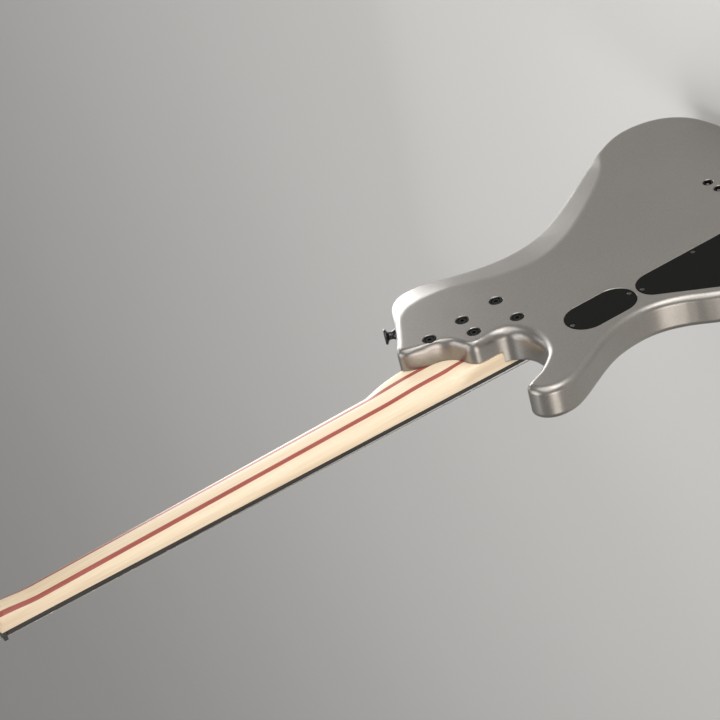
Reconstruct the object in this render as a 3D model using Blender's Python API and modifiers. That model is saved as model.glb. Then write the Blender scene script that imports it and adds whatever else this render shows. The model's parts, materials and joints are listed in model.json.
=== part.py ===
"""Four-string electric bass guitar with a bolt-on laminated neck.

The frame stands upright: +Z runs up the neck to the headstock, the strings face -Y,
the flat back faces +Y and the highest string is on the +X side. The origin lies on the
centre line where the strings leave the nut, in the plane of the glue joint between
the maple neck and its fretboard. All lengths are in metres.
"""
import math

import bmesh
import bpy
import numpy as np
from mathutils import Matrix, Vector

# General fits
GAP = 0.0003
HOLE_CLEARANCE = 0.0003
# How far a cutter reaches past the face that it opens
PAST = 0.010

# Scale, frets and strings, from the lowest string to the highest
SCALE_LENGTH = 0.8636
FRET_COUNT = 24
STRING_NAMES = ("e", "a", "d", "g")
STRING_DIAMETERS = (0.00267, 0.00216, 0.00165, 0.00114)
NUT_STRING_PITCH = 0.0098
BRIDGE_STRING_PITCH = 0.0190
ACTION_AT_12TH = 0.0023
STRING_OVER_FIRST_FRET = 0.0006

# Neck
NUT_WIDTH = 0.0378
WIDTH_AT_LAST_FRET = 0.0620
NECK_DEPTH_AT_NUT = 0.0138
NECK_DEPTH_AT_BODY = 0.0165
NECK_ROUNDNESS = 2.2
HEEL_DEPTH = 0.0185
HEEL_LENGTH = 0.1650
HEEL_FLARE = 0.055
HEEL_ROUNDNESS = 9.0

# The treble side squares up later, where the cutaway bares it
TREBLE_HEEL_LENGTH = 0.0950
TREBLE_FLARE = 0.0500
VOLUTE_START = -0.0460
VOLUTE_END = 0.0020
VOLUTE_RISE = 0.0020

# Fretboard, frets and nut
FRETBOARD_THICKNESS = 0.0060
FRETBOARD_RADIUS = 0.350
FRETBOARD_OVERHANG = 0.0095
FRET_WIDTH = 0.0026
FRET_HEIGHT = 0.0012
NUT_THICKNESS = 0.0045
NUT_UNDER_STRING_TOPS = 0.0004

# Truss rod
ROD_RADIUS = 0.0030
ROD_AXIS_DEPTH = 0.0062
ROD_LENGTH = 0.590
ROD_NUT_RADIUS = 0.0034
ROD_NUT_LENGTH = 0.0065
ROD_NUT_FROM_SHELF = 0.0015
ROD_SOCKET_RADIUS = 0.0020
ROD_SOCKET_DEPTH = 0.0040
ROD_POCKET_WIDTH = 0.0110
ROD_POCKET_LENGTH = 0.0260
ROD_POCKET_WALL = 0.0010

# Headstock, tilted back from the nut
HEAD_TILT = math.radians(10.0)
HEAD_STEP = 0.0012
HEAD_THICKNESS = 0.0150
HEAD_EDGE_RADIUS = 0.0015
HEAD_HALF_OUTLINE = (
    (0.0192, 0.000), (0.0205, 0.012), (0.0270, 0.026), (0.0372, 0.040),
    (0.0408, 0.058), (0.0392, 0.086), (0.0372, 0.116), (0.0350, 0.142),
    (0.0300, 0.163), (0.0215, 0.176), (0.0105, 0.1835),
)
HEAD_TIP = 0.1850
# The wood that joins the shaft to the headstock: its span along the neck and widths
ROOT_SPAN = (-0.0040, 0.0200)
ROOT_FRONT_WIDTH = 0.0380
ROOT_BACK_WIDTH = 0.0240
ROOT_INSET = 0.0010
ROD_COVER_THICKNESS = 0.0020
ROD_COVER_START = 0.0050
ROD_COVER_LENGTH = 0.0400
ROD_COVER_WIDTH = 0.0240
ROD_COVER_CORNER = 0.0030
ROD_SCREW_RADIUS = 0.0011
ROD_SCREW_HEAD_RADIUS = 0.0020
SCREW_RECESS = 0.0005
ROD_SCREW_LENGTH = 0.0080
ROD_SCREW_INSET = 0.0040

# Tuners: the near pair stands closer to the nut than the far pair
TUNER_NEAR = 0.064
TUNER_FAR = 0.122
TUNER_OFFSET = 0.0255
POST_RADIUS = 0.0055
POST_FLANGE_RADIUS = 0.0070
POST_FLANGE = 0.0014
POST_HEIGHT = 0.0215
POST_TOP_THICKNESS = 0.0030
POST_SHAFT_RADIUS = 0.0048
POST_SLOT_WIDTH = 0.0044
POST_DEPTH_IN_HOUSING = 0.0060
BUSHING_FLANGE_RADIUS = 0.0092
BUSHING_FLANGE = 0.0020
BUSHING_WALL = 0.0014
HOUSING_WIDTH = 0.0190
HOUSING_TOP = 0.0100
HOUSING_BOTTOM = 0.0200
HOUSING_DEPTH = 0.0125
HOUSING_BASE = 0.0020
HOUSING_LUG_RADIUS = 0.0042
HOUSING_LUG_REACH = 0.0045
HOUSING_CORNER = 0.0040
KEY_SETBACK = 0.0110
KEY_DEPTH_IN_HOUSING = 0.0070
KEY_SHAFT_RADIUS = 0.0026
KEY_COLLAR_RADIUS = 0.0042
KEY_COLLAR = 0.0030
KEY_REACH = 0.0290
KEY_SIZE = 0.0115
KEY_SQUASH = 0.72
KEY_THICKNESS = 0.0055
KEY_EDGE = 0.0014
KEY_LOBES = 3
KEY_LOBE_RISE = 0.13
KEY_POINTS = 18
KEY_SHAFT_IN_PADDLE = 0.0020
TUNER_SCREW_RADIUS = 0.0013
TUNER_SCREW_HEAD_RADIUS = 0.0025
TUNER_SCREW_HEAD = 0.0013
TUNER_SCREW_LENGTH = 0.0080
STRING_TURNS = 2
WINDING_GAP = 0.0006
WINDING_START = 0.0052
WINDING_BEND = 0.0020
LOOP_POINTS = 24

# Body: its outline is drawn from the point under the bridge saddles
BODY_FRONT = 0.0051
BODY_THICKNESS = 0.0382
EDGE_RADIUS = 0.0060
OUTLINE_TURN = math.radians(24.0)
BODY_OUTLINE = (
    (-0.0300, 0.3731), (-0.0410, 0.3661), (-0.0715, 0.3491), (-0.0980, 0.3371),
    (-0.1190, 0.3246), (-0.1305, 0.3076), (-0.1295, 0.2836), (-0.1170, 0.2506),
    (-0.1055, 0.2156), (-0.1020, 0.1816), (-0.1090, 0.1436), (-0.1310, 0.0971),
    (-0.1600, 0.0516), (-0.1840, 0.0066), (-0.1964, -0.0344), (-0.1880, -0.0744),
    (-0.1630, -0.1004), (-0.1250, -0.1119), (-0.0750, -0.1134), (-0.0200, -0.1079),
    (0.0400, -0.0984), (0.0920, -0.0814), (0.1330, -0.0544), (0.1590, -0.0164),
    (0.1700, 0.0286), (0.1630, 0.0726), (0.1470, 0.0996), (0.1295, 0.1226),
    (0.1175, 0.1466), (0.1135, 0.1706), (0.1175, 0.2016), (0.1290, 0.2286),
    (0.1460, 0.2586), (0.1555, 0.2806), (0.1555, 0.3006), (0.1470, 0.3146),
    (0.1340, 0.3201), (0.1265, 0.3166), (0.1160, 0.2946), (0.0990, 0.2745),
    (0.0860, 0.2683), (0.0660, 0.2660), (0.0460, 0.2697), (0.0337, 0.2775),
    (0.0290, 0.2895), (0.0289, 0.3030), (0.0275, 0.3135), (0.0215, 0.3198),
    (0.0122, 0.3230), (0.0025, 0.3274), (-0.0052, 0.3376), (-0.0105, 0.3548),
    (-0.0165, 0.3692), (-0.0230, 0.3746),
)

# The rolled edge of the heel and cutaway: its inset and depth at consecutive outline points
HEEL_ROLL_FIRST = 38
HEEL_ROLL = (
    (0.0055, 0.0055), (0.0080, 0.0090), (0.0100, 0.0120), (0.0120, 0.0134),
    (0.0125, 0.0134), (0.0110, 0.0125), (0.0095, 0.0114), (0.0070, 0.0112),
    (0.0055, 0.0112), (0.0055, 0.0112), (0.0060, 0.0108), (0.0052, 0.0100),
    (0.0045, 0.0097), (0.0045, 0.0097), (0.0055, 0.0055),
)
HEEL_ROLL_STEPS = 4
HEEL_ROLL_REACH = 0.0010
HEEL_ROLL_OVERLAP = 0.0006

# The sloped contour behind the bass side: outer point, inner point and drop
CONTOUR_STATIONS = (
    ((-0.2010, -0.0330), (-0.1985, -0.0330), 0.0010),
    ((-0.1830, 0.0100), (-0.1743, 0.0070), 0.0026),
    ((-0.1680, 0.0400), (-0.1438, 0.0304), 0.0075),
    ((-0.1428, 0.0840), (-0.1125, 0.0650), 0.0105),
    ((-0.1100, 0.1410), (-0.0746, 0.1167), 0.0120),
    ((-0.1024, 0.1640), (-0.0572, 0.1532), 0.0120),
    ((-0.1020, 0.1830), (-0.0506, 0.1843), 0.0120),
    ((-0.1040, 0.2080), (-0.0579, 0.2211), 0.0120),
    ((-0.1100, 0.2330), (-0.0699, 0.2475), 0.0120),
    ((-0.1205, 0.2600), (-0.0827, 0.2747), 0.0120),
    ((-0.1300, 0.2900), (-0.0874, 0.3033), 0.0120),
    ((-0.1290, 0.3160), (-0.0866, 0.3160), 0.0115),
    ((-0.1130, 0.3290), (-0.0846, 0.3253), 0.0080),
    ((-0.0900, 0.3405), (-0.0780, 0.3350), 0.0035),
    ((-0.0715, 0.3491), (-0.0680, 0.3440), 0.0015),
    ((-0.0450, 0.3630), (-0.0440, 0.3600), 0.0002),
)
CONTOUR_STEPS = 2
CONTOUR_REACH = 0.0150
CONTOUR_OVERLAP = 0.0020

# Neck pocket and its bolts, placed from the end of the neck
POCKET_REACH = 0.3000
BOLT_PLACES = (
    (-0.0159, 0.1340), (-0.0181, 0.0919), (-0.0204, 0.0481),
    (0.0093, 0.0956), (0.0222, 0.0504),
)
BOLT_RADIUS = 0.0024
BOLT_HEAD_RADIUS = 0.0046
BOLT_HEAD = 0.0040
BOLT_TIP_UNDER_FRETBOARD = 0.0055
BOLT_FERRULE_RADIUS = 0.0071
BOLT_FERRULE_DEPTH = 0.0065
BOLT_FERRULE_WALL = 0.0020

# String ferrules through the back
STRING_HOLE_FROM_SADDLE = 0.0280
STRING_HOLE_RADIUS = 0.0022
STRING_FERRULE_RADIUS = 0.0055
STRING_FERRULE_DEPTH = 0.0090
STRING_FERRULE_WALL = 0.0015
FERRULE_SINK = 0.0002
BALL_END_RADIUS = 0.0024

# Bridge
BRIDGE_PLATE = 0.0030
BRIDGE_FRONT = 0.0170
BRIDGE_BACK = 0.0385
BRIDGE_WIDTH = 0.0840
BRIDGE_CORNER = 0.0030
BRIDGE_WALL = 0.0030
BRIDGE_WALL_INSET = 0.0002
BRIDGE_RAIL = 0.0026
BRIDGE_RAIL_HEIGHT = 0.0065
BRIDGE_WALL_HEIGHT = 0.0105
BRIDGE_SLOT_LENGTH = 0.0065
BRIDGE_SLOT_SHIFT = 0.0012
BRIDGE_SCREW_PLACES = ((-0.034, 0.0125), (0.0, 0.0125), (0.034, 0.0125),
                       (-0.019, -0.0285), (0.019, -0.0285))
BRIDGE_SCREW_RADIUS = 0.0016
BRIDGE_SCREW_HEAD_RADIUS = 0.0031
BRIDGE_SCREW_HEAD = 0.0016
BRIDGE_SCREW_LENGTH = 0.0180
SADDLE_SETBACKS = (0.0040, 0.0026, 0.0014, 0.0)
SADDLE_SPACING = 0.0005
SADDLE_FRONT = 0.0025
SADDLE_BACK = 0.0150
SADDLE_FLOOR_GAP = 0.0012
SADDLE_SHOULDER = 0.0016
RIDGE_HALF_WIDTH = 0.0030
RIDGE_ROOT = 0.0010
RIDGE_FALL = 0.0004
RIDGE_BACK = 0.0045
GROOVE_FRONT = 0.0012
GROOVE_CREST_BACK = 0.0006
GROOVE_CREST_SINK = 0.0002
GROOVE_TAIL_SINK = 0.0006
GROOVE_HEIGHT = 0.0040
GROOVE_OVERRUN = 0.0020
GRUB_RADIUS = 0.00125
GRUB_OFFSET = 0.0070
GRUB_SETBACK = 0.0040
GRUB_RISE = 0.0010
INTONATION_SCREW_RADIUS = 0.00125
INTONATION_SCREW_OFFSET = 0.0039
INTONATION_SCREW_HEIGHT = 0.0068
INTONATION_HEAD_RADIUS = 0.0024
INTONATION_HEAD = 0.0020
INTONATION_TIP = 0.0010

# Pickups, measured from the saddles to their centres
PICKUP_PLACES = {"neck": 0.1590, "bridge": 0.0590}
PICKUP_LENGTH = 0.0890
PICKUP_WIDTH = 0.0320
PICKUP_HEIGHT = 0.0190
PICKUP_ABOVE_BODY = 0.0075
PICKUP_WALL = 0.0020
PICKUP_CORNER_RADIUS = 0.0060
PICKUP_EDGE = 0.0010
PICKUP_SLACK = 0.0008
PICKUP_SCREW_RADIUS = 0.0012
PICKUP_SCREW_INSET = 0.0050
PICKUP_SCREW_SIDE_INSET = 0.0060
PICKUP_SCREW_HEAD_RADIUS = 0.0022
PICKUP_SCREW_BITE = 0.0090

# Back covers as hulls of circles: x, height over the saddles, radius
CONTROL_COVER_CIRCLES = (
    (0.0844, 0.1246, 0.0217), (0.1340, 0.0698, 0.0160), (0.0767, 0.0016, 0.0140),
)
BATTERY_COVER_CIRCLES = ((0.0780, 0.2090, 0.0228), (0.0780, 0.1735, 0.0228))
COVER_THICKNESS = 0.0022
CONTROL_LEDGE = 0.0085
BATTERY_LEDGE = 0.0075
COVER_SCREW_RADIUS = 0.0013
COVER_SCREW_HEAD_RADIUS = 0.0026
COVER_SCREW_LENGTH = 0.0090
CONTROL_SCREW_PLACES = ((0.0822, 0.1419), (0.0672, 0.0656), (0.1440, 0.0640), (0.0700, -0.0070))
BATTERY_SCREW_PLACES = ((0.0796, 0.2275), (0.0776, 0.1550))
BATTERY_SIZE = (0.0262, 0.0175, 0.0485)
TERMINAL_RADIUS = 0.0030
TERMINAL_OFFSET = 0.0065
TERMINAL_RISE = 0.0020
FRONT_WALL = 0.0060

# Controls
POT_FIRST = (0.0840, 0.1226)
POT_LAST = (0.1205, 0.0616)
KNOB_NAMES = ("volume", "blend", "bass", "treble")
POT_RADIUS = 0.0083
POT_BODY = 0.0090
POT_BUSHING_RADIUS = 0.0037
POT_BUSHING_RISE = 0.0050
POT_SHAFT_RADIUS = 0.0030
POT_NUT_RADIUS = 0.0060
POT_NUT = 0.0022
POT_WALL = 0.0022
KNOB_RADIUS = 0.0087
KNOB_HEIGHT = 0.0150
KNOB_FLOAT = 0.0010
KNOB_SKIRT_DEPTH = 0.0045
KNOB_WALL = 0.0018
KNOB_CHAMFER = 0.0012
KNOB_TAPER = 0.0004
BOARD_SIZE = (0.0240, 0.0016, 0.0320)
BOARD_PLACE = (0.0850, 0.0350)
# Blocks on the board: width, height off the board, length, and place across and along
BOARD_BLOCKS = (
    (0.008, 0.0040, 0.010, -0.005, 0.008), (0.010, 0.0080, 0.006, 0.004, -0.003),
    (0.012, 0.0055, 0.005, 0.000, -0.012),
)
JACK_HEIGHT = 0.0286
JACK_DEPTH_IN_BODY = 0.0190
JACK_BARREL_RADIUS = 0.0062
JACK_BORE_RADIUS = 0.0033
JACK_LENGTH = 0.0440
JACK_FLANGE_RADIUS = 0.0105
JACK_FLANGE = 0.0018
JACK_SEAT = 0.0012
JACK_WALL = 0.0040
JACK_HOLE_DEPTH = 0.0700
WIRE_CHANNEL_RADIUS = 0.0035
WIRE_CHANNEL_DEPTH = 0.0130
LINK_CHANNEL_X = 0.0267
CONTROL_CHANNEL_REACH = 0.0350
CONTROL_CHANNEL_START = 0.0040
BATTERY_CHANNEL_X = 0.0780
BATTERY_CHANNEL_SPAN = (0.1300, 0.1650)
BATTERY_CHANNEL_RISE = 0.0060

# Strap buttons
BUTTON_HEIGHT = 0.0130
BUTTON_BASE_RADIUS = 0.0065
BUTTON_NECK_RADIUS = 0.0042
BUTTON_HEAD_RADIUS = 0.0085
BUTTON_SCREW_RADIUS = 0.0019
BUTTON_SCREW_HEAD_RADIUS = 0.0040
BUTTON_SCREW_LENGTH = 0.0260
BUTTON_LIP = 0.0010
BUTTON_RIM = 0.0022
BUTTON_HEAD_DEPTH = 0.0048
BUTTON_BASE_HEIGHT = 0.0036
BUTTON_DEPTH_IN_BODY = 0.0170
HORN_BUTTON_PLACE = (-0.0810, 0.3448)
HORN_BUTTON_DIRECTION = (-0.41, 0.912)
END_BUTTON_PLACE = (0.0, -0.1047)

# Places that follow from the sizes above
BODY_BACK = BODY_FRONT + BODY_THICKNESS
BRIDGE_Z = -SCALE_LENGTH
LAST_FRET_Z = -SCALE_LENGTH * (1 - 2 ** (-FRET_COUNT / 12))
NECK_END_Z = LAST_FRET_Z - FRETBOARD_OVERHANG
NUT_STRING_Y = -(FRETBOARD_THICKNESS + FRET_HEIGHT + STRING_OVER_FIRST_FRET)
SADDLE_STRING_Y = NUT_STRING_Y - 2 * (ACTION_AT_12TH - STRING_OVER_FIRST_FRET / 2)
STRING_HOLE_Z = BRIDGE_Z - STRING_HOLE_FROM_SADDLE
BRIDGE_TOP = BODY_FRONT - BRIDGE_PLATE
BRIDGE_REAR = BRIDGE_Z - BRIDGE_BACK
HOUSING_SCREW_Z = -HOUSING_BOTTOM - HOUSING_LUG_REACH

# Colours, roughness and metallic value
MATERIALS = {
    "silver_paint": ((0.42, 0.41, 0.39), 0.38, 0.75),
    "maple": ((0.86, 0.68, 0.45), 0.45, 0.0),
    "black_wood": ((0.015, 0.013, 0.012), 0.5, 0.0),
    "black_plastic": ((0.012, 0.012, 0.012), 0.45, 0.0),
    "black_metal": ((0.02, 0.02, 0.022), 0.3, 1.0),
    "steel": ((0.55, 0.55, 0.56), 0.25, 1.0),
    "string_metal": ((0.62, 0.60, 0.57), 0.3, 1.0),
    "rod_steel": ((0.30, 0.30, 0.31), 0.4, 1.0),
    "coil_block": ((0.05, 0.04, 0.04), 0.6, 0.0),
    "battery_case": ((0.10, 0.11, 0.13), 0.4, 0.2),
    "circuit_board": ((0.02, 0.12, 0.05), 0.5, 0.0),
}


def start_empty():
    for old in list(bpy.data.objects):
        bpy.data.objects.remove(old, do_unlink=True)


def new_collection(name):
    collection = bpy.data.collections.new(name)
    bpy.context.scene.collection.children.link(collection)
    return collection


def make_material(name, colour, roughness, metallic):
    made = bpy.data.materials.new(name)
    made.use_nodes = True
    shader = made.node_tree.nodes["Principled BSDF"]
    shader.inputs["Base Color"].default_value = (*colour, 1.0)
    shader.inputs["Roughness"].default_value = roughness
    shader.inputs["Metallic"].default_value = metallic
    return made


start_empty()
PARTS = new_collection("bass_guitar")
CUTTERS = new_collection("cutters")
LOOKS = {name: make_material(name, *look) for name, look in MATERIALS.items()}


def add_node(name, mesh, look, matrix=None, parent=None):
    """A visible piece with its own name and material."""
    piece = bpy.data.objects.new(name, mesh)
    PARTS.objects.link(piece)
    if not mesh.materials:
        mesh.materials.append(LOOKS[look])
    if parent:
        piece.parent = parent
    if matrix:
        piece.matrix_local = matrix
    mesh.shade_smooth()
    mesh.set_sharp_from_angle(angle=math.radians(32))
    return piece


def add_cutter(name, mesh, matrix=None):
    cutter = bpy.data.objects.new(name, mesh)
    CUTTERS.objects.link(cutter)
    cutter.hide_render = True
    cutter.display_type = "WIRE"
    if matrix:
        cutter.matrix_world = matrix
    return cutter


def combine(target, name, mesh, operation="DIFFERENCE", matrix=None):
    """Cut a mesh out of a piece, or join it on, with an exact Boolean."""
    modifier = target.modifiers.new(name, "BOOLEAN")
    modifier.operation = operation
    modifier.solver = "EXACT"
    modifier.object = add_cutter(name, mesh, matrix)


def evaluated_mesh(shape):
    """The mesh of an object with its modifiers, and the object removed."""
    bpy.context.view_layer.update()
    graph = bpy.context.evaluated_depsgraph_get()
    mesh = bpy.data.meshes.new_from_object(shape.evaluated_get(graph))
    mesh.transform(shape.matrix_world)
    bpy.data.objects.remove(shape, do_unlink=True)
    return mesh


def combined_mesh(mesh, operation, *others):
    """One mesh cut by, joined with or kept inside others."""
    shape = bpy.data.objects.new("blank", mesh)
    CUTTERS.objects.link(shape)
    for number, other in enumerate(others):
        combine(shape, f"{mesh.name}_tool_{number}", other, operation)
    return evaluated_mesh(shape)


def welded(mesh):
    form = bmesh.new()
    form.from_mesh(mesh)
    bmesh.ops.remove_doubles(form, verts=form.verts, dist=0.000002)
    bmesh.ops.recalc_face_normals(form, faces=form.faces)
    form.to_mesh(mesh)
    form.free()
    return mesh


def box(size, centre):
    form = bmesh.new()
    bmesh.ops.create_cube(form, size=1.0)
    bmesh.ops.scale(form, vec=size, verts=form.verts)
    bmesh.ops.translate(form, vec=centre, verts=form.verts)
    mesh = bpy.data.meshes.new("box")
    form.to_mesh(mesh)
    form.free()
    return mesh


def cylinder(radius, start, end, sides=16):
    """A cylinder between two points."""
    start, end = Vector(start), Vector(end)
    form = bmesh.new()
    bmesh.ops.create_cone(form, cap_ends=True, segments=sides, radius1=radius, radius2=radius,
                          depth=(end - start).length)
    mesh = bpy.data.meshes.new("cylinder")
    form.to_mesh(mesh)
    form.free()
    mesh.transform(aimed(start.lerp(end, 0.5), end - start))
    return mesh


def aimed(place, direction):
    """A matrix that puts local +Z along a direction."""
    turn = Vector(direction).normalized().to_track_quat("Z", "Y")
    return Matrix.Translation(Vector(place)) @ turn.to_matrix().to_4x4()


def turned(profile, sides=16):
    """A solid of revolution about local Z from (radius, height) points, top to bottom."""
    mesh = bpy.data.meshes.new("profile")
    points = [(radius, 0, height) for radius, height in profile]
    mesh.from_pydata(points, [(i, i + 1) for i in range(len(points) - 1)], [])
    shape = bpy.data.objects.new("profile", mesh)
    CUTTERS.objects.link(shape)
    screw = shape.modifiers.new("Turn", "SCREW")
    screw.steps = sides
    screw.render_steps = sides
    screw.use_merge_vertices = True
    screw.merge_threshold = 0.000005
    return welded(evaluated_mesh(shape))


def stepped_hole(steps, sides=16):
    """A cutter of (radius, depth) steps going down local -Z from a mouth above zero."""
    profile = [(0, PAST), (steps[0][0], PAST)]
    for number, (radius, depth) in enumerate(steps):
        profile.append((radius, -depth))
        if number + 1 < len(steps):
            profile.append((steps[number + 1][0], -depth))
    profile.append((0, -steps[-1][1]))
    return turned(profile, sides)


def loft(rings, name="loft"):
    """A closed skin over rings of points, with flat ends."""
    count = len(rings[0])
    points = [point for ring in rings for point in ring]
    faces = [tuple(reversed(range(count)))]
    for row in range(len(rings) - 1):
        low, high = row * count, (row + 1) * count
        for i in range(count):
            j = (i + 1) % count
            faces.append((low + i, low + j, high + j, high + i))
    faces.append(tuple(range((len(rings) - 1) * count, len(rings) * count)))
    mesh = bpy.data.meshes.new(name)
    mesh.from_pydata([tuple(point) for point in points], [], faces)
    return welded(mesh)


def slab(outline, front, back, edge=0.0, edge_steps=1):
    """A flat outline in x and z, thick from front to back in y, with round edges."""
    curve = bpy.data.curves.new("outline", "CURVE")
    curve.dimensions = "2D"
    curve.fill_mode = "BOTH"
    curve.extrude = (back - front) / 2 - edge
    curve.bevel_depth = edge
    curve.bevel_resolution = edge_steps
    curve.offset = -edge
    spline = curve.splines.new("POLY")
    spline.points.add(len(outline) - 1)
    for point, (x, z) in zip(spline.points, outline):
        point.co = (x, z, 0, 1)
    spline.use_cyclic_u = True
    shape = bpy.data.objects.new("outline", curve)
    CUTTERS.objects.link(shape)
    shape.matrix_world = Matrix.Translation((0, (front + back) / 2, 0)) @ Matrix.Rotation(
        math.pi / 2, 4, "X")
    return welded(evaluated_mesh(shape))


def smooth_path(points, closed, max_turn):
    """Points on a curve through the given ones, closer together where it bends."""
    knots = [Vector(point) for point in points]
    count = len(knots)
    path = []
    for i in range(count if closed else count - 1):
        around = []
        for step in (-1, 0, 1, 2):
            k = i + step
            around.append(knots[k % count] if closed else knots[min(max(k, 0), count - 1)])
        before, start, end, after = around
        leave = (end - before) * 0.5
        arrive = (after - start) * 0.5
        reach = (end - start).length
        if leave.length > 0:
            leave = leave.normalized() * reach
        if arrive.length > 0:
            arrive = arrive.normalized() * reach
        turn = leave.angle(arrive, 0.0) + leave.angle(end - start, 0.0)
        steps = max(1, math.ceil(turn / max_turn))
        for step in range(steps):
            t = step / steps
            path.append(start * (2 * t ** 3 - 3 * t ** 2 + 1) + leave * (t ** 3 - 2 * t ** 2 + t)
                        + end * (3 * t ** 2 - 2 * t ** 3) + arrive * (t ** 3 - t ** 2))
    if not closed:
        path.append(knots[-1])
    return path


def hull_of_circles(circles, inset=0.0, sides=20):
    """The outline around circles in counter-clockwise order, drawn in by an inset."""
    outline = []
    circles = sort_around(circles)
    count = len(circles)
    for i in range(count):
        normals = []
        for j, k in ((i - 1, i), (i, (i + 1) % count)):
            start, end = Vector(circles[j][:2]), Vector(circles[k][:2])
            along = end - start
            lean = math.asin((circles[j][2] - circles[k][2]) / along.length)
            side = math.atan2(along.y, along.x) - math.pi / 2
            normals.append(side + lean)
        first, last = normals
        while last < first:
            last += 2 * math.pi
        x, z, radius = circles[i]
        steps = max(2, round(sides * (last - first) / (2 * math.pi)))
        for step in range(steps + 1):
            angle = first + (last - first) * step / steps
            outline.append((x + (radius - inset) * math.cos(angle),
                            z + (radius - inset) * math.sin(angle)))
    return outline


def sort_around(circles):
    middle_x = sum(circle[0] for circle in circles) / len(circles)
    middle_z = sum(circle[1] for circle in circles) / len(circles)
    return sorted(circles, key=lambda c: math.atan2(c[1] - middle_z, c[0] - middle_x))


def rounded_rectangle(width, height, radius, centre, sides=12):
    x, z = width / 2 - radius, height / 2 - radius
    corners = [(centre[0] + sx * x, centre[1] + sz * z, radius)
               for sx in (-1, 1) for sz in (-1, 1)]
    return hull_of_circles(corners, 0.0, sides)


def raised(places):
    """Move (x, height, ...) places from the saddle line to the upright frame."""
    return [(place[0], place[1] + BRIDGE_Z, *place[2:]) for place in places]


def fret_z(number):
    return -SCALE_LENGTH * (1 - 2 ** (-number / 12))


def half_width(z):
    """Half the neck's width at a height along it."""
    along = min(z, 0) / LAST_FRET_Z
    return (NUT_WIDTH + (WIDTH_AT_LAST_FRET - NUT_WIDTH) * along) / 2


def blend(low, high, share):
    share = min(max(share, 0.0), 1.0)
    share = share * share * (3 - 2 * share)
    return low + (high - low) * share


def board_drop(x):
    """How far the cambered fretboard falls away from its centre line."""
    return FRETBOARD_RADIUS - math.sqrt(FRETBOARD_RADIUS ** 2 - x ** 2)


# The tilted headstock has its own frame: y is the depth behind its front face
HEAD_FRAME = (Matrix.Translation((0, HEAD_STEP, NUT_THICKNESS))
              @ Matrix.Rotation(-HEAD_TILT, 4, "X"))


def head_front_y(z):
    """Where the headstock's front face lies in the upright frame."""
    return HEAD_STEP + (z - NUT_THICKNESS) * math.tan(HEAD_TILT)


def head_back_y(z):
    return head_front_y(z) + HEAD_THICKNESS / math.cos(HEAD_TILT)


def neck_ring(z, depth, squareness):
    """A cross-section: flat under the fretboard and round behind, square in the heel."""
    treble = blend(1.0, 0.0, (z - NECK_END_Z - TREBLE_HEEL_LENGTH) / TREBLE_FLARE)
    ring = []
    sides = 8
    for i in range(sides + 1):
        angle = math.pi * i / sides
        square = treble if math.cos(angle) > 0 else squareness
        power = blend(NECK_ROUNDNESS, HEEL_ROUNDNESS, square)
        across = abs(math.cos(angle)) ** (2 / power)
        back = abs(math.sin(angle)) ** (2 / power)
        x = half_width(z) * across * (1 if math.cos(angle) > 0 else -1)
        ring.append((x, depth * back, z))
    return ring


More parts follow.
